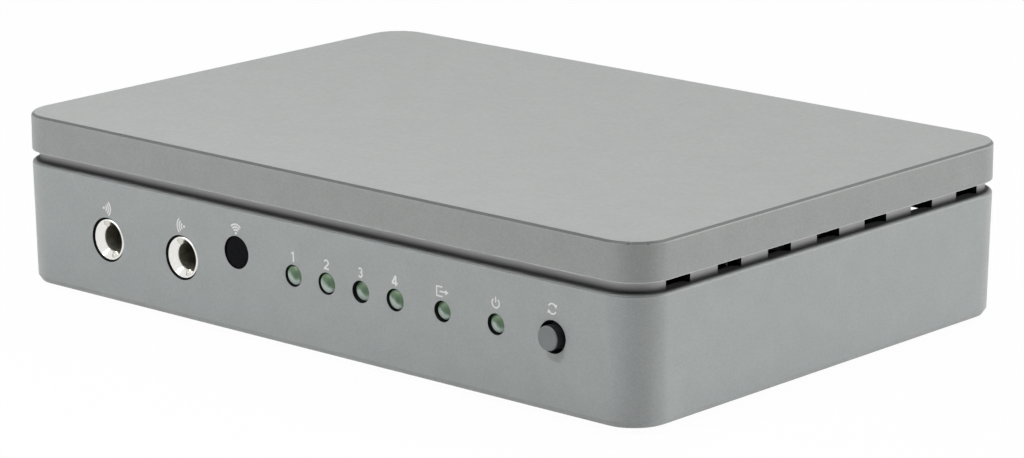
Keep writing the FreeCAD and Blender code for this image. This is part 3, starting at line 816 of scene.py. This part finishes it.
def makeFerrule(name, shape):
    node = name + "_jack_ferrule"
    low, high, (x, _, z) = boxOf(node)
    radius = (high[0] - low[0]) / 2
    front = low[1] - faceShift(z) - shape["forward"]
    length = high[1] - front
    lip, root, bore = shape["lip"], shape["rootBevel"], shape["boreRadius"]
    inner = radius - lip - shape["lipWidth"]
    profile = arc(length - root, radius - root, root, 90, 0, 3)
    profile += arc(lip, radius - lip, lip, 0, -90, 8) + [(0.0, inner + shape["lipBreak"])]
    begins, funnelEnd = shape["funnelFrom"], shape["funnelEnd"]
    for i in range(11):
        t = i / 10
        out = bore + (inner - bore) * (1 - t) ** shape["throat"]
        profile.append((funnelEnd * (begins + (1 - begins) * t), out))
    # the bore's lining runs on into the jack as its sleeve contact
    sleeve, end = shape["sleeveRadius"], length + shape["sleeveDepth"]
    lining = bore - shape["liningInside"]
    profile += [(funnelEnd + shape["sleeveStep"], sleeve), (end, sleeve), (end, lining), (length, lining)]
    mesh = smooth(turnedMesh("ferrule_" + name, profile, (x, front, z), "Y", 96, closed=True))
    for face in mesh.polygons:
        inBore = math.hypot(face.center.x - x, face.center.z - z) < bore - shape["metalInside"]
        face.material_index = 1 if inBore else 0
    addPiece("ferrule_" + name, mesh, (nickelRim, sleeveMetal), node)


for jackName in ("ir_blaster", "ir_extender"):
    makeFerrule(jackName, ferruleShape)
print("jack ferrules made")

windowShape = {
    "radius": 2.225 * mm, "edge": 0.18 * mm, "crown": 0.05 * mm, "flange": 0.8 * mm,
    "flangeEdge": 0.1 * mm,
}


def makeWindow(shape):
    low, high, (x, _, z) = boxOf("ir_window")
    front = low[1] - faceShift(z)
    neck = high[1] - front - shape["flange"]
    radius, edge, crown = shape["radius"], shape["edge"], shape["crown"]
    profile = [(crown * (i / 6) ** 2, (radius - edge) * i / 6) for i in range(6)]
    profile += arc(edge + crown, radius - edge, edge, -90, 0, 5) + [(neck, radius), (neck, 0)]
    bm = bmesh.new()
    turned(bm, profile, (x, front, z), "Y", 64)
    easedBox(bm, (low[0], high[1] - shape["flange"], low[2]), high, shape["flangeEdge"], 2, 0.0)
    addPiece("irWindow", smooth(meshFrom(bm, "irWindow")), darkWindow, "ir_window")


makeWindow(windowShape)
print("infrared window made")

buttonShape = {
    "edge": 0.22 * mm, "dish": 0.06 * mm, "stemRadius": 1.65 * mm,
    "collarThick": 0.6 * mm, "collarEdge": 0.1 * mm,
    "faceShare": 0.8,        # how much of the rounded edge has the face's finish
}


def makeButton(shape):
    low, high, (x, _, z) = boxOf("select_button")
    length, collar = high[1] - low[1], (high[0] - low[0]) / 2
    edge, stem, small = shape["edge"], shape["stemRadius"], shape["collarEdge"]
    start = length - shape["collarThick"]
    profile = [(shape["dish"] * (1 - (i / 8) ** 2), (stem - edge) * i / 8) for i in range(8)]
    profile += arc(edge, stem - edge, edge, -90, 0, 6) + [(start, stem), (start, collar - small)]
    profile += arc(start + small, collar - small, small, -90, 0, 3) + [(length, collar), (length, 0)]
    mesh = smooth(turnedMesh("selectButton", profile, (x, low[1], z), "Y", 72))
    for face in mesh.polygons:
        # the front takes the painted highlight, the sides the painted shade
        face.material_index = 1 if face.center.y < low[1] + edge * shape["faceShare"] else 0
    addPiece("selectButton", mesh, (buttonSideShade, buttonFaceLit), "select_button", body="button")


makeButton(buttonShape)
print("button made")


def bend(centre, radius, start, end, steps=16):
    points = []
    for i in range(steps + 1):
        angle = math.radians(start + (end - start) * i / steps)
        points.append((centre[0] + radius * math.cos(angle), centre[1] + radius * math.sin(angle)))
    return points


def stripOutline(points, width):
    # both sides of a strip along points in a plane, out and back
    left, right = [], []
    for i, (u, v) in enumerate(points):
        before, after = points[max(i - 1, 0)], points[min(i + 1, len(points) - 1)]
        du, dv = after[0] - before[0], after[1] - before[1]
        half = width / 2 / math.hypot(du, dv)
        left.append((u - dv * half, v + du * half))
        right.append((u + dv * half, v - du * half))
    return left + right[::-1]


markShape = {
    "lift": 0.012 * mm,      # the print's thickness over the paint
    "root": 0.01 * mm,       # how far it reaches into the paint
    "layers": 6, "layer": 0.0004 * mm,    # strokes lie a hair above each other, so that none coincide
    "stroke": 0.25 * mm, "heavier": 1.12,
    "thin": 0.21 * mm,       # arrows, box and ring
    "wave": 0.235 * mm,      # arcs
    "numeralHeight": 1.42 * mm, "numeralZ": 13.32 * mm,
    "powerZ": 13.5 * mm, "buttonZ": 14.5 * mm,
    "dot": 0.13, "firstArc": 0.36, "nextArc": 0.28, "arcSpread": 46,
    "chaseRadius": 0.68, "chaseFrom": 36, "chaseTo": 152, "chaseTip": 8, "chaseLean": 72,
    "chaseHead": 0.5 * mm,
    # infrared leaving through the first jack, arriving through the second and at the window:
    # the piece below, how far beside its middle, height, size, and degrees in which the arcs spread
    "waves": (
        ("ir_blaster_jack_ferrule", -0.65 * mm, 13.95 * mm, 1.45 * mm, 0),
        ("ir_extender_jack_ferrule", 0.65 * mm, 13.95 * mm, 1.45 * mm, 180),
        ("ir_window", 0.0, 14.72 * mm, 1.35 * mm, 90),
    ),
}
numeralStrokes = {
    # strokes of each numeral in a box one unit high
    "1": [[(-0.20, 0.27), (0.03, 0.42)], [(0.05, -0.5), (0.05, 0.5)]],
    "2": [
        bend((0.0, 0.17), 0.25, 165, -38, 12), [(0.21, 0.03), (-0.27, -0.42)],
        [(-0.33, -0.415), (0.32, -0.415)],
    ],
    "3": [bend((-0.01, 0.215), 0.205, 150, -90, 12), bend((-0.01, -0.195), 0.225, 90, -152, 12)],
    "4": [[(0.13, -0.5), (0.13, 0.5)], [(0.10, 0.45), (-0.30, -0.20)], [(-0.38, -0.24), (0.36, -0.24)]],
}
outputStrokes = [
    # in millimetres: a box that is open on the right, and the shaft of an arrow that leaves it
    [(-0.95, -0.745), (-0.95, 0.745)], [(-0.95, -0.64), (0.05, -0.64)], [(-0.95, 0.64), (0.05, 0.64)],
    [(-0.45, 0.0), (0.6, 0.0)],
]
powerStrokes = [bend((0, 0), 0.62, 128, 412, 28), [(0, 0.08), (0, 0.85)]]    # a broken ring with a bar


def printFace(sheet, corners):
    level = len(sheet.faces) % markShape["layers"] * markShape["layer"]
    sheet.faces.new([sheet.verts.new((u, v, level)) for u, v in corners])


def printStrokes(sheet, strokes, centre, scale, width):
    for points in strokes:
        line = [(centre[0] + u * scale, centre[1] + v * scale) for u, v in points]
        printFace(sheet, stripOutline(line, width))


def printHead(sheet, tip, direction, size, flare=0.62):
    # a solid arrow head that points in a direction given in degrees
    a = math.radians(direction)
    u, v = math.cos(a) * size, math.sin(a) * size
    sides = [(tip[0] - u - v * side * flare, tip[1] - v + u * side * flare) for side in (1, -1)]
    printFace(sheet, [tip] + sides)


def printWaves(sheet, centre, size, facing, width):
    # a dot with arcs that spread from it
    look = markShape
    printFace(sheet, bend(centre, size * look["dot"], 0, 342, 19))
    start, end = facing - look["arcSpread"], facing + look["arcSpread"]
    radii = [look["firstArc"] + look["nextArc"] * i for i in range(3)]
    arcs = [bend((0, 0), radius, start, end, 14) for radius in radii]
    printStrokes(sheet, arcs, centre, size, width)


def printNext(sheet, centre, width):
    # two arrows that chase each other
    look = markShape
    radius = look["chaseRadius"]
    for turn in (0, 180):
        shaft = bend((0, 0), radius, turn + look["chaseFrom"], turn + look["chaseTo"])
        printStrokes(sheet, [shaft], centre, mm, width)
        at = turn + look["chaseTip"]
        tip = bend(centre, radius * mm, at, at, 1)[0]
        printHead(sheet, tip, turn - look["chaseLean"], look["chaseHead"])


def makeMarks(shape):
    sheet = bmesh.new()
    lightX = {name: boxOf("led_" + name + "_lens")[2][0] for name in lightNames}
    for text, name in zip("1234", lightNames):
        width = shape["stroke"] * (shape["heavier"] if text == "4" else 1.0)
        at = (lightX[name], shape["numeralZ"])
        printStrokes(sheet, numeralStrokes[text], at, shape["numeralHeight"], width)
    for node, beside, level, size, facing in shape["waves"]:
        printWaves(sheet, (boxOf(node)[2][0] + beside, level), size, facing, shape["wave"])
    thin = shape["thin"]
    at = (lightX["output"], shape["numeralZ"])
    printStrokes(sheet, outputStrokes, at, mm, thin)
    printHead(sheet, (at[0] + 1.15 * mm, at[1]), 0, 0.6 * mm)
    printStrokes(sheet, powerStrokes, (lightX["power"], shape["powerZ"]), mm, thin)
    printNext(sheet, (boxOf("select_button")[2][0], shape["buttonZ"]), thin)
    for face in sheet.faces:
        face.normal_update()
    backwards = [face for face in sheet.faces if face.normal.z < 0]
    bmesh.ops.reverse_faces(sheet, faces=backwards)
    grown = bmesh.ops.extrude_face_region(sheet, geom=sheet.faces[:])
    raised = {element for element in grown["geom"] if isinstance(element, bmesh.types.BMVert)}
    for vert in sheet.verts:
        u, v, level = vert.co
        depth = -shape["lift"] - level if vert in raised else shape["root"]
        vert.co = Vector((u, frontAt(v) + depth, v))
    addPiece("frontMarks", meshFrom(sheet, "frontMarks"), whiteInk)


makeMarks(markShape)
print("printed marks made")


# one tree repeats an item along a straight row, and the row again on each side of a centre
def makeRowsTree():
    tree = bpy.data.node_groups.new("rowsAroundCentre", "GeometryNodeTree")
    kinds = {
        "Item": "Object", "Finish": "Material", "Centre": "Vector", "Count": "Int",
        "Pitch": "Float", "Reach": "Float", "Sides": "Int",
    }
    for label, kind in kinds.items():
        tree.interface.new_socket(label, in_out="INPUT", socket_type="NodeSocket" + kind)
    tree.interface.new_socket("Geometry", in_out="OUTPUT", socket_type="NodeSocketGeometry")
    given = tree.nodes.new("NodeGroupInput").outputs
    halfRow = mathsOn(tree, "MULTIPLY", mathsOn(tree, "ADD", given["Count"], -1.0), -0.5)
    firstX = mathsOn(tree, "MULTIPLY", halfRow, given["Pitch"])
    firstY = mathsOn(tree, "MULTIPLY", given["Reach"], -1.0)
    first = addNode(tree, "ShaderNodeCombineXYZ", {"X": firstX, "Y": firstY}).outputs[0]
    step = addNode(tree, "ShaderNodeCombineXYZ", {"X": given["Pitch"]}).outputs[0]
    inputs = {"Count": given["Count"], "Start Location": first, "Offset": step}
    row = addNode(tree, "GeometryNodeMeshLine", inputs, mode="OFFSET").outputs["Mesh"]
    item = addNode(tree, "GeometryNodeObjectInfo", {"Object": given["Item"]}).outputs["Geometry"]
    inputs = {"Points": row, "Instance": item}
    itemRow = addNode(tree, "GeometryNodeInstanceOnPoints", inputs).outputs["Instances"]
    inputs = {"Count": given["Sides"], "Start Location": given["Centre"], "Offset": (0, 0, 0)}
    sides = addNode(tree, "GeometryNodeMeshLine", inputs, mode="OFFSET").outputs["Mesh"]
    index = addNode(tree, "GeometryNodeInputIndex").outputs[0]
    share = mathsOn(tree, "DIVIDE", index, given["Sides"])
    angle = mathsOn(tree, "MULTIPLY", share, 2 * math.pi)
    turn = addNode(tree, "ShaderNodeCombineXYZ", {"Z": angle}).outputs[0]
    inputs = {"Points": sides, "Instance": itemRow, "Rotation": turn}
    both = addNode(tree, "GeometryNodeInstanceOnPoints", inputs).outputs["Instances"]
    whole = addNode(tree, "GeometryNodeRealizeInstances", {"Geometry": both}).outputs["Geometry"]
    inputs = {"Geometry": whole, "Material": given["Finish"]}
    dressed = addNode(tree, "GeometryNodeSetMaterial", inputs).outputs["Geometry"]
    addNode(tree, "NodeGroupOutput", {"Geometry": dressed})
    return tree


rowsTree = makeRowsTree()


def layRows(name, itemMesh, finish, centre, count, pitch, reach=0.0, sides=1, angle=40):
    item = linked(name + "Item", itemMesh)
    holder = linked(name + "Rows", bpy.data.meshes.new(name + "Start"))
    rows = holder.modifiers.new("rows", "NODES")
    rows.node_group = rowsTree
    values = {
        "Item": item, "Finish": finish, "Centre": centre, "Count": count, "Pitch": pitch,
        "Reach": reach, "Sides": sides,
    }
    for socket in rowsTree.interface.items_tree:
        if socket.in_out == "INPUT":
            rows[socket.identifier] = values[socket.name]
    return smooth(evaluated(holder, item), angle)


def joined(meshes, name):
    bm = bmesh.new()
    for mesh in meshes:
        bm.from_mesh(mesh)
    return meshFrom(bm, name)


def ribbon(bm, points, width, thickness, x=0.0):
    # a strip bent along points of (y, z), as wide as it is across x
    outline = stripOutline(points, thickness)
    rings = [[bm.verts.new((x + side * width / 2, y, z)) for y, z in outline] for side in (-1, 1)]
    count = len(outline)
    for i in range(count):
        j = (i + 1) % count
        bm.faces.new((rings[0][i], rings[0][j], rings[1][j], rings[1][i]))
    for ring in rings:
        for i in range(len(points) - 1):
            bm.faces.new((ring[i], ring[i + 1], ring[count - 2 - i], ring[count - 1 - i]))


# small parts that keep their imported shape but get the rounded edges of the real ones, in millimetres
easedEdges = {
    "dc_jack_housing": 0.22, "dc_jack_pin": 0.12, "dc_jack_spring": 0.08, "regulator": 0.12,
    "power_coil": 0.3, "crystal": 0.25, "ir_receiver": 0.3, "select_switch_housing": 0.12,
    "select_switch_cover": 0.06, "select_switch_contacts": 0.04, "main_board": 0.08,
    "ir_blaster_jack_body": 0.2, "ir_extender_jack_body": 0.2,
    "ir_blaster_jack_contacts": 0.06, "ir_extender_jack_contacts": 0.06, "ir_receiver_leads": 0.05,
}
easedEdges.update({"led_" + lightName + "_leads": 0.05 for lightName in lightNames})


def easeNode(name, radius, steps=2, sharp=28):
    bm = packedShape(name)
    roundEdges(bm, [edge for edge in bm.edges if bendOf(edge) > sharp], radius, steps)
    bmesh.ops.remove_doubles(bm, verts=bm.verts, dist=1e-7)
    mesh = smooth(dropLayers(settle(meshFrom(bm, name + "Eased"))))
    addPiece(name + "_eased", mesh, finishOf(name), name)


for name, radius in easedEdges.items():
    easeNode(name, radius * mm)
print("edges of the small parts eased")

# self-tapping pan-head screws, driven from below
screwShape = {
    "head": 1.6 * mm, "radius": 2.7 * mm, "shank": 1.45 * mm, "crown": 0.35 * mm, "rim": 0.3 * mm,
    "break": 0.1 * mm, "recess": 2.6 * mm, "recessDepth": 1.05 * mm, "blade": 0.62 * mm,
    "recessTaper": 0.55, "bladeTaper": 0.8, "recessOut": 0.4 * mm,
    "threadFrom": 0.6 * mm, "thread": 1.1 * mm, "threadDepth": 0.3 * mm,
    "rootShare": 0.35, "crestShare": 0.6, "tip": 1.6 * mm, "point": 0.3 * mm,
}


def screwProfile(shape, length):
    head, radius, shank, small = (shape[key] for key in ("head", "radius", "shank", "break"))
    crown, rimSize, root = shape["crown"], shape["rim"], shape["shank"] - shape["threadDepth"]
    profile = [(crown * (i / 8) ** 2, (radius - rimSize) * i / 8) for i in range(9)]
    profile += arc(crown + rimSize, radius - rimSize, rimSize, -90, 0, 5)[1:]
    profile += [(head - small, radius), (head, radius - small), (head, shank)]
    at, pitch = head + shape["threadFrom"], shape["thread"]
    while at < length - shape["tip"]:
        profile += [(at, root), (at + pitch * shape["rootShare"], root)]
        profile.append((at + pitch * shape["crestShare"], shank))
        at += pitch
    return profile + [(length - shape["tip"], root), (length - small, shape["point"]), (length, 0)]


def makeScrews(shape):
    low, high, _ = boxOf("case_screws")
    profile = screwProfile(shape, high[2] - low[2])
    body = linked("screwBody", turnedMesh("screwBody", profile, (0, 0, low[2]), "Z", 40))
    # the cross recess, which narrows as it goes in
    bm = bmesh.new()
    for turn in (0, 90):
        for vert in bmesh.ops.create_cube(bm, size=1.0)["verts"]:
            inwards = vert.co.z > 0
            half = shape["recess"] / 2 * (shape["recessTaper"] if inwards else 1.0)
            thick = shape["blade"] / 2 * (shape["bladeTaper"] if inwards else 1.0)
            x, y = math.copysign(half, vert.co.x), math.copysign(thick, vert.co.y)
            z = low[2] + (shape["recessDepth"] + shape["crown"] if inwards else -shape["recessOut"])
            vert.co = Vector((x, y, z) if turn == 0 else (-y, x, z))
    cutter = linked("recessCutter", meshFrom(bm, "recessCutter"))
    cut = body.modifiers.new("recess", "BOOLEAN")
    cut.operation, cut.solver, cut.use_self, cut.object = "DIFFERENCE", "EXACT", True, cutter
    item = evaluated(body, cutter)
    x, y = ((high[i] - low[i]) / 2 - shape["radius"] for i in range(2))
    mesh = layRows("case_screws", item, zincScrew, (0, 0, 0), 2, 2 * x, y, 2, 32)
    addPiece("caseScrews", mesh, zincScrew, "case_screws")


makeScrews(screwShape)
print("screws made")

footShape = {
    "radius": 4.5 * mm, "edge": 0.22 * mm, "topEdge": 0.1 * mm, "dish": 0.12 * mm,
    "dishRadius": 3.3 * mm,
}


def makeFeet(shape):
    low, high, _ = boxOf("rubber_feet")
    radius, edge, top, tall = shape["radius"], shape["edge"], shape["topEdge"], high[2] - low[2]
    profile = [(shape["dish"] * (1 - (i / 6) ** 3), shape["dishRadius"] * i / 6) for i in range(7)]
    profile += arc(edge, radius - edge, edge, -90, 0, 6)
    profile += arc(tall - top, radius - top, top, 0, 90, 3) + [(tall, 0)]
    item = turnedMesh("footItem", profile, (0, 0, low[2]), "Z", 64)
    x, y = ((high[i] - low[i]) / 2 - radius for i in range(2))
    mesh = layRows("rubber_feet", item, footRubber, (0, 0, 0), 2, 2 * x, y, 2, 50)
    addPiece("rubberFeet", mesh, footRubber, "rubber_feet")


makeFeet(footShape)
print("feet made")

# rear sockets: a folded steel shell with sprung fingers, over a moulded tongue with its contacts
socketShape = {
    "sheet": 0.3 * mm, "corner": 0.75 * mm, "mouth": 14.0 * mm, "mouthHeight": 4.55 * mm,
    "floor": 9.6 * mm, "side": 2.4 * mm, "lip": 0.12 * mm, "lipEase": 0.3,
    "fingerWidth": 1.5 * mm, "fingerThick": 0.16 * mm, "fingerLift": 0.06 * mm,
    "fingerRise": 0.42 * mm, "fingerStart": 6.2 * mm, "fingerEnd": 1.3 * mm,
    "fingerSpan": 1.06, "fingerBow": 1.4,
    "topFingers": (-3.6 * mm, 3.6 * mm), "bottomFingers": (-2.3 * mm, 2.3 * mm),
    "legWidth": 1.2 * mm, "legAt": 3.2 * mm, "legEdge": 0.06 * mm,
    "blockDepth": 3.4 * mm, "blockGap": 0.02 * mm, "tongueRoot": 0.5 * mm,
    "tongueHalf": 5.5 * mm, "tongueThick": 1.2 * mm, "tongueEdge": 0.28 * mm,
    "bladeWidth": 0.3 * mm, "bladeThick": 0.14 * mm, "bladeLift": 0.05 * mm,
    "bladePitch": 1.0 * mm, "bladeSink": 0.06 * mm, "bladeDip": 0.75,
}


def roundCorners(corners, radius, steps=5):
    points = []
    for i, corner in enumerate(corners):
        here = Vector(corner)
        before = (Vector(corners[i - 1]) - here).normalized()
        after = (Vector(corners[(i + 1) % len(corners)]) - here).normalized()
        half = before.angle(after) / 2
        back = radius / math.tan(half)
        centre = here + (before + after).normalized() * radius / math.sin(half)
        start, end = here + before * back - centre, here + after * back - centre
        for k in range(steps + 1):
            points.append(centre + start.slerp(end, k / steps).normalized() * radius)
    return points


def socketOutline(shape, floorLevel, grow, radius):
    low, high = floorLevel - grow, floorLevel + shape["mouthHeight"] + grow
    turnAt = high - shape["side"] - grow
    half, floorHalf = shape["mouth"] / 2 + grow, shape["floor"] / 2 + grow / 2
    right = [(floorHalf, low), (half, turnAt), (half, high)]
    return roundCorners([(-floorHalf, low)] + right + [(-half, high), (-half, turnAt)], radius)


def sweep(bm, rings, closed):
    made = [[bm.verts.new(point) for point in ring] for ring in rings]
    count = len(made[0])
    for first, second in zip(made, made[1:] + (made[:1] if closed else [])):
        for i in range(count):
            j = (i + 1) % count
            bm.faces.new((first[i], first[j], second[j], second[i]))
    if not closed:
        bm.faces.new(made[0])
        bm.faces.new(made[-1])


def sweepSocket(bm, shape, x, level, stations):
    # more than two stations go out along the shell's inside and back along its outside
    rings = []
    for y, grow in stations:
        outline = socketOutline(shape, level, grow, shape["corner"] + max(grow, 0.0))
        rings.append([(x + point.x, y, point.y) for point in outline])
    sweep(bm, rings, len(stations) > 2)


def makeSteel(name, shape):
    low, high, (x, middle, _) = boxOf(name + "_shell")
    sheet, lip, back, mouth = shape["sheet"], shape["lip"], low[1], high[1]
    roof = high[2] - sheet
    level = roof - shape["mouthHeight"]
    ease = lip * shape["lipEase"]
    bm = bmesh.new()
    sweepSocket(bm, shape, x, level, [
        (back, 0.0), (mouth - lip, 0.0), (mouth - ease, ease), (mouth, lip),
        (mouth, sheet - lip), (mouth - ease, sheet - ease), (mouth - lip, sheet), (back, sheet),
    ])
    # the four legs that go down to the board
    for side in (-1, 1):
        for place in (-1, 1):
            inner = x + side * shape["mouth"] / 2
            left, right = sorted((inner, inner + side * sheet))
            y, half = middle + place * shape["legAt"], shape["legWidth"] / 2
            top = roof - shape["side"] / 2
            easedBox(bm, (left, y - half, low[2]), (right, y + half, top), shape["legEdge"])
    # sprung fingers that grip the plug
    start, end = mouth - shape["fingerStart"], mouth - shape["fingerEnd"]
    for places, surface, side in ((shape["topFingers"], roof, -1), (shape["bottomFingers"], level, 1)):
        points = []
        for i in range(13):
            t = i / 12
            bow = math.sin(math.pi * min(1.0, t * shape["fingerSpan"])) ** shape["fingerBow"]
            rise = shape["fingerRise"] * bow
            points.append((start + (end - start) * t, surface + side * (rise + shape["fingerLift"])))
        for place in places:
            ribbon(bm, points, shape["fingerWidth"], shape["fingerThick"], x + place)
    addPiece(name + "_steel", settle(meshFrom(bm, name + "Shell")), steelSheet, name + "_shell")
    return x, back, level


def makeSocket(name, shape):
    x, back, level = makeSteel(name, shape)
    # the moulded plug at the back and its tongue
    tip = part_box(name + "_insulator")[1][1]
    blockEnd = back + shape["blockDepth"]
    bm = bmesh.new()
    gap = -shape["blockGap"]
    sweepSocket(bm, shape, x, level, [(back, gap), (blockEnd, gap)])
    middle = level + shape["mouthHeight"] / 2
    half, thick = shape["tongueHalf"], shape["tongueThick"] / 2
    low = (x - half, blockEnd - shape["tongueRoot"], middle - thick)
    easedBox(bm, low, (x + half, tip, middle + thick), shape["tongueEdge"], 3)
    moulding = settle(meshFrom(bm, name + "Insulator"))
    addPiece(name + "_moulding", moulding, blackNylon, name + "_insulator")
    # ten contacts above the tongue and nine below, by turns
    low, high, _ = boxOf(name + "_contacts")
    rows = []
    for count, side in ((10, 1), (9, -1)):
        points = []
        for i in range(7):
            t = i / 6
            dip = shape["bladeDip"]
            sink = shape["bladeSink"] * max(0.0, (t - dip) / (1 - dip)) ** 2
            z = middle + side * (thick + shape["bladeLift"] - sink)
            points.append((low[1] + (high[1] - low[1]) * t, z))
        strip = bmesh.new()
        ribbon(strip, points, shape["bladeWidth"], shape["bladeThick"])
        item = meshFrom(strip, "contact")
        label = name + "_contacts%d" % count
        rows.append(layRows(label, item, goldPlate, (x, 0, 0), count, shape["bladePitch"], angle=30))
    addPiece(name + "_blades", joined(rows, name + "Blades"), goldPlate, name + "_contacts")


for socketName in ("video_in_1", "video_in_2", "video_in_3", "video_in_4", "video_out"):
    makeSocket(socketName, socketShape)
print("rear sockets made")

# the board's parts, whose leads are strips bent down to its copper
chipShape = {
    "edge": 0.12 * mm, "standOff": 0.08 * mm, "pinReach": 1.0 * mm, "pinThick": 0.13 * mm,
    "pinRoot": 0.1 * mm, "pinRound": 0.15, "pinShoulder": 0.25, "pinFoot": 0.4,
    "dot": 0.5 * mm, "dotAt": 1.1 * mm, "dotHeight": 0.02 * mm, "dotSink": 0.004 * mm,
    # pins on a side, their pitch and width, and how many sides have them
    "switch_chip": (30, 0.4 * mm, 0.2 * mm, 4),
    "controller_chip": (4, 1.27 * mm, 0.42 * mm, 2),
}


def gullWing(shape, bodyHalf, height, width):
    # leaves the body level, drops, and ends flat on the board
    reach, thickness = shape["pinReach"], shape["pinThick"]
    bow, low = reach * shape["pinRound"], thickness / 2
    points = [(-bodyHalf + shape["pinRoot"], height)]
    for i in range(5):
        a = math.radians(90 * i / 4)
        y = -bodyHalf - reach * shape["pinShoulder"] - bow * math.sin(a)
        points.append((y, height - bow * (1 - math.cos(a))))
    for i in range(5):
        a = math.radians(90 * i / 4)
        y = -bodyHalf - reach * shape["pinFoot"] - bow * (1 - math.cos(a))
        points.append((y, low + bow * (1 - math.sin(a))))
    bm = bmesh.new()
    ribbon(bm, points + [(-bodyHalf - reach, low)], width, thickness)
    return bm


def makeChip(node, shape, boardTop):
    count, pitch, width, sides = shape[node]
    low, high, (x, y, _) = boxOf(node)
    bm = bmesh.new()
    easedBox(bm, (low[0], low[1], low[2] + shape["standOff"]), high, shape["edge"])
    if sides == 2:
        dot, tall, at = shape["dot"], shape["dotHeight"], shape["dotAt"]
        place = (low[0] + at, low[1] + at, high[2] - shape["dotSink"])
        turned(bm, [(0.0, dot), (tall, dot * 0.95), (tall, 0)], place, "Z", 24)
    addPiece(node + "_body", settle(meshFrom(bm, node + "Body")), chipEpoxy, node)
    wing = gullWing(shape, (high[1] - low[1]) / 2, (high[2] - low[2]) / 2, width)
    bmesh.ops.translate(wing, verts=wing.verts, vec=(0, 0, boardTop))
    item = meshFrom(wing, node + "Pin")
    pins = layRows(node + "_pins", item, tinLead, (x, y, 0), count, pitch, 0.0, sides, 30)
    addPiece(node + "_pins", pins, tinLead)


for chipName in ("switch_chip", "controller_chip"):
    makeChip(chipName, chipShape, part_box("main_board")[1][2])
print("chips made")

sinkShape = {
    "fins": 7, "finThickness": 1.0 * mm, "base": 1.5 * mm, "edge": 0.18 * mm, "baseEdge": 0.12 * mm,
}


def makeHeatsink(shape):
    low, high, (x, y, _) = boxOf("chip_heatsink")
    bm = bmesh.new()
    easedBox(bm, low, (high[0], high[1], low[2] + shape["base"]), shape["baseEdge"])
    plate = meshFrom(bm, "sinkPlate")
    half, deep = shape["finThickness"] / 2, (high[1] - low[1]) / 2
    bm = bmesh.new()
    easedBox(bm, (-half, -deep, low[2] + shape["base"] / 2), (half, deep, high[2]), shape["edge"])
    pitch = (high[0] - low[0] - shape["finThickness"]) / (shape["fins"] - 1)
    item = meshFrom(bm, "fin")
    fins = layRows("chip_heatsink", item, blackAnodised, (x, y, 0), shape["fins"], pitch)
    addPiece("heatsink", settle(joined([plate, fins], "heatsink")), blackAnodised, "chip_heatsink")


makeHeatsink(sinkShape)
print("heatsink made")

canShape = {
    "seatHeight": 1.2 * mm, "seatOverlap": 0.1 * mm, "seatEdge": 0.25 * mm,
    "radius": 3.15 * mm, "rootEdge": 0.3 * mm, "crimp": 0.25 * mm, "crimpAt": 1.5 * mm,
    "edge": 0.35 * mm, "topRim": 0.2 * mm, "topSink": 0.08 * mm,
}


def makeCapacitors(shape):
    low, high, (x, y, _) = boxOf("capacitors")
    half, tall = (high[1] - low[1]) / 2, high[2] - low[2]
    start, radius, crimp, edge = (shape[key] for key in ("seatHeight", "radius", "crimp", "edge"))
    root, top = shape["rootEdge"], tall - shape["topSink"]
    profile = [(start, 0), (start, radius - root), (start + root / 2, radius - root / 6)]
    for i in range(9):
        a = math.radians(180 * i / 8)
        along = start + shape["crimpAt"] - crimp + crimp * 2 * i / 8
        profile.append((along, radius - crimp * math.sin(a)))
    profile += arc(tall - edge, radius - edge, edge, 0, 90, 5)
    profile += [(top, radius - edge - shape["topRim"]), (top, 0)]
    can = turnedMesh("can", profile, (0, 0, low[2]), "Z", 48)
    seat = bmesh.new()
    seatTop = low[2] + start + shape["seatOverlap"]
    easedBox(seat, (-half, -half, low[2]), (half, half, seatTop), shape["seatEdge"])
    pitch = high[0] - low[0] - 2 * half
    cans = layRows("capacitors", can, canMetal, (x, y, 0), 2, pitch)
    seats = layRows("capacitorSeats", meshFrom(seat, "canSeat"), blackNylon, (x, y, 0), 2, pitch)
    addPiece("capacitorCans", cans, canMetal, "capacitors")
    addPiece("capacitorSeats", seats, blackNylon)


makeCapacitors(canShape)
print("capacitors made")

passiveShape = {
    "cap": 0.3 * mm, "length": 1.6 * mm, "width": 0.8 * mm, "inset": 0.03 * mm, "edge": 0.05 * mm,
    "pitch": 3.0 * mm, "count": 9,
}


def makePassives(shape):
    low, high, (x, y, _) = boxOf("small_passives")
    reach = (high[1] - low[1] - shape["width"]) / 2
    across, deep, inset, edge = shape["length"] / 2, shape["width"] / 2, shape["inset"], shape["edge"]
    body = bmesh.new()
    corner = (across - inset, deep - inset, high[2] - inset)
    easedBox(body, (-corner[0], -corner[1], low[2]), corner, edge)
    ends = bmesh.new()
    for side in (-1, 1):
        left, right = sorted((side * across, side * (across - shape["cap"])))
        easedBox(ends, (left, -deep, low[2]), (right, deep, high[2]), edge)
    for name, bm, finish, stands, slotName in (
        ("passiveBodies", body, ceramicTan, "small_passives", None),
        ("passiveEnds", ends, tinLead, None, "tinned_lead"),
    ):
        item = meshFrom(bm, name + "Item")
        mesh = layRows(name, item, finish, (x, y, 0), shape["count"], shape["pitch"], reach, 2)
        addPiece(name, mesh, finish, stands)


makePassives(passiveShape)
print("small board parts made")
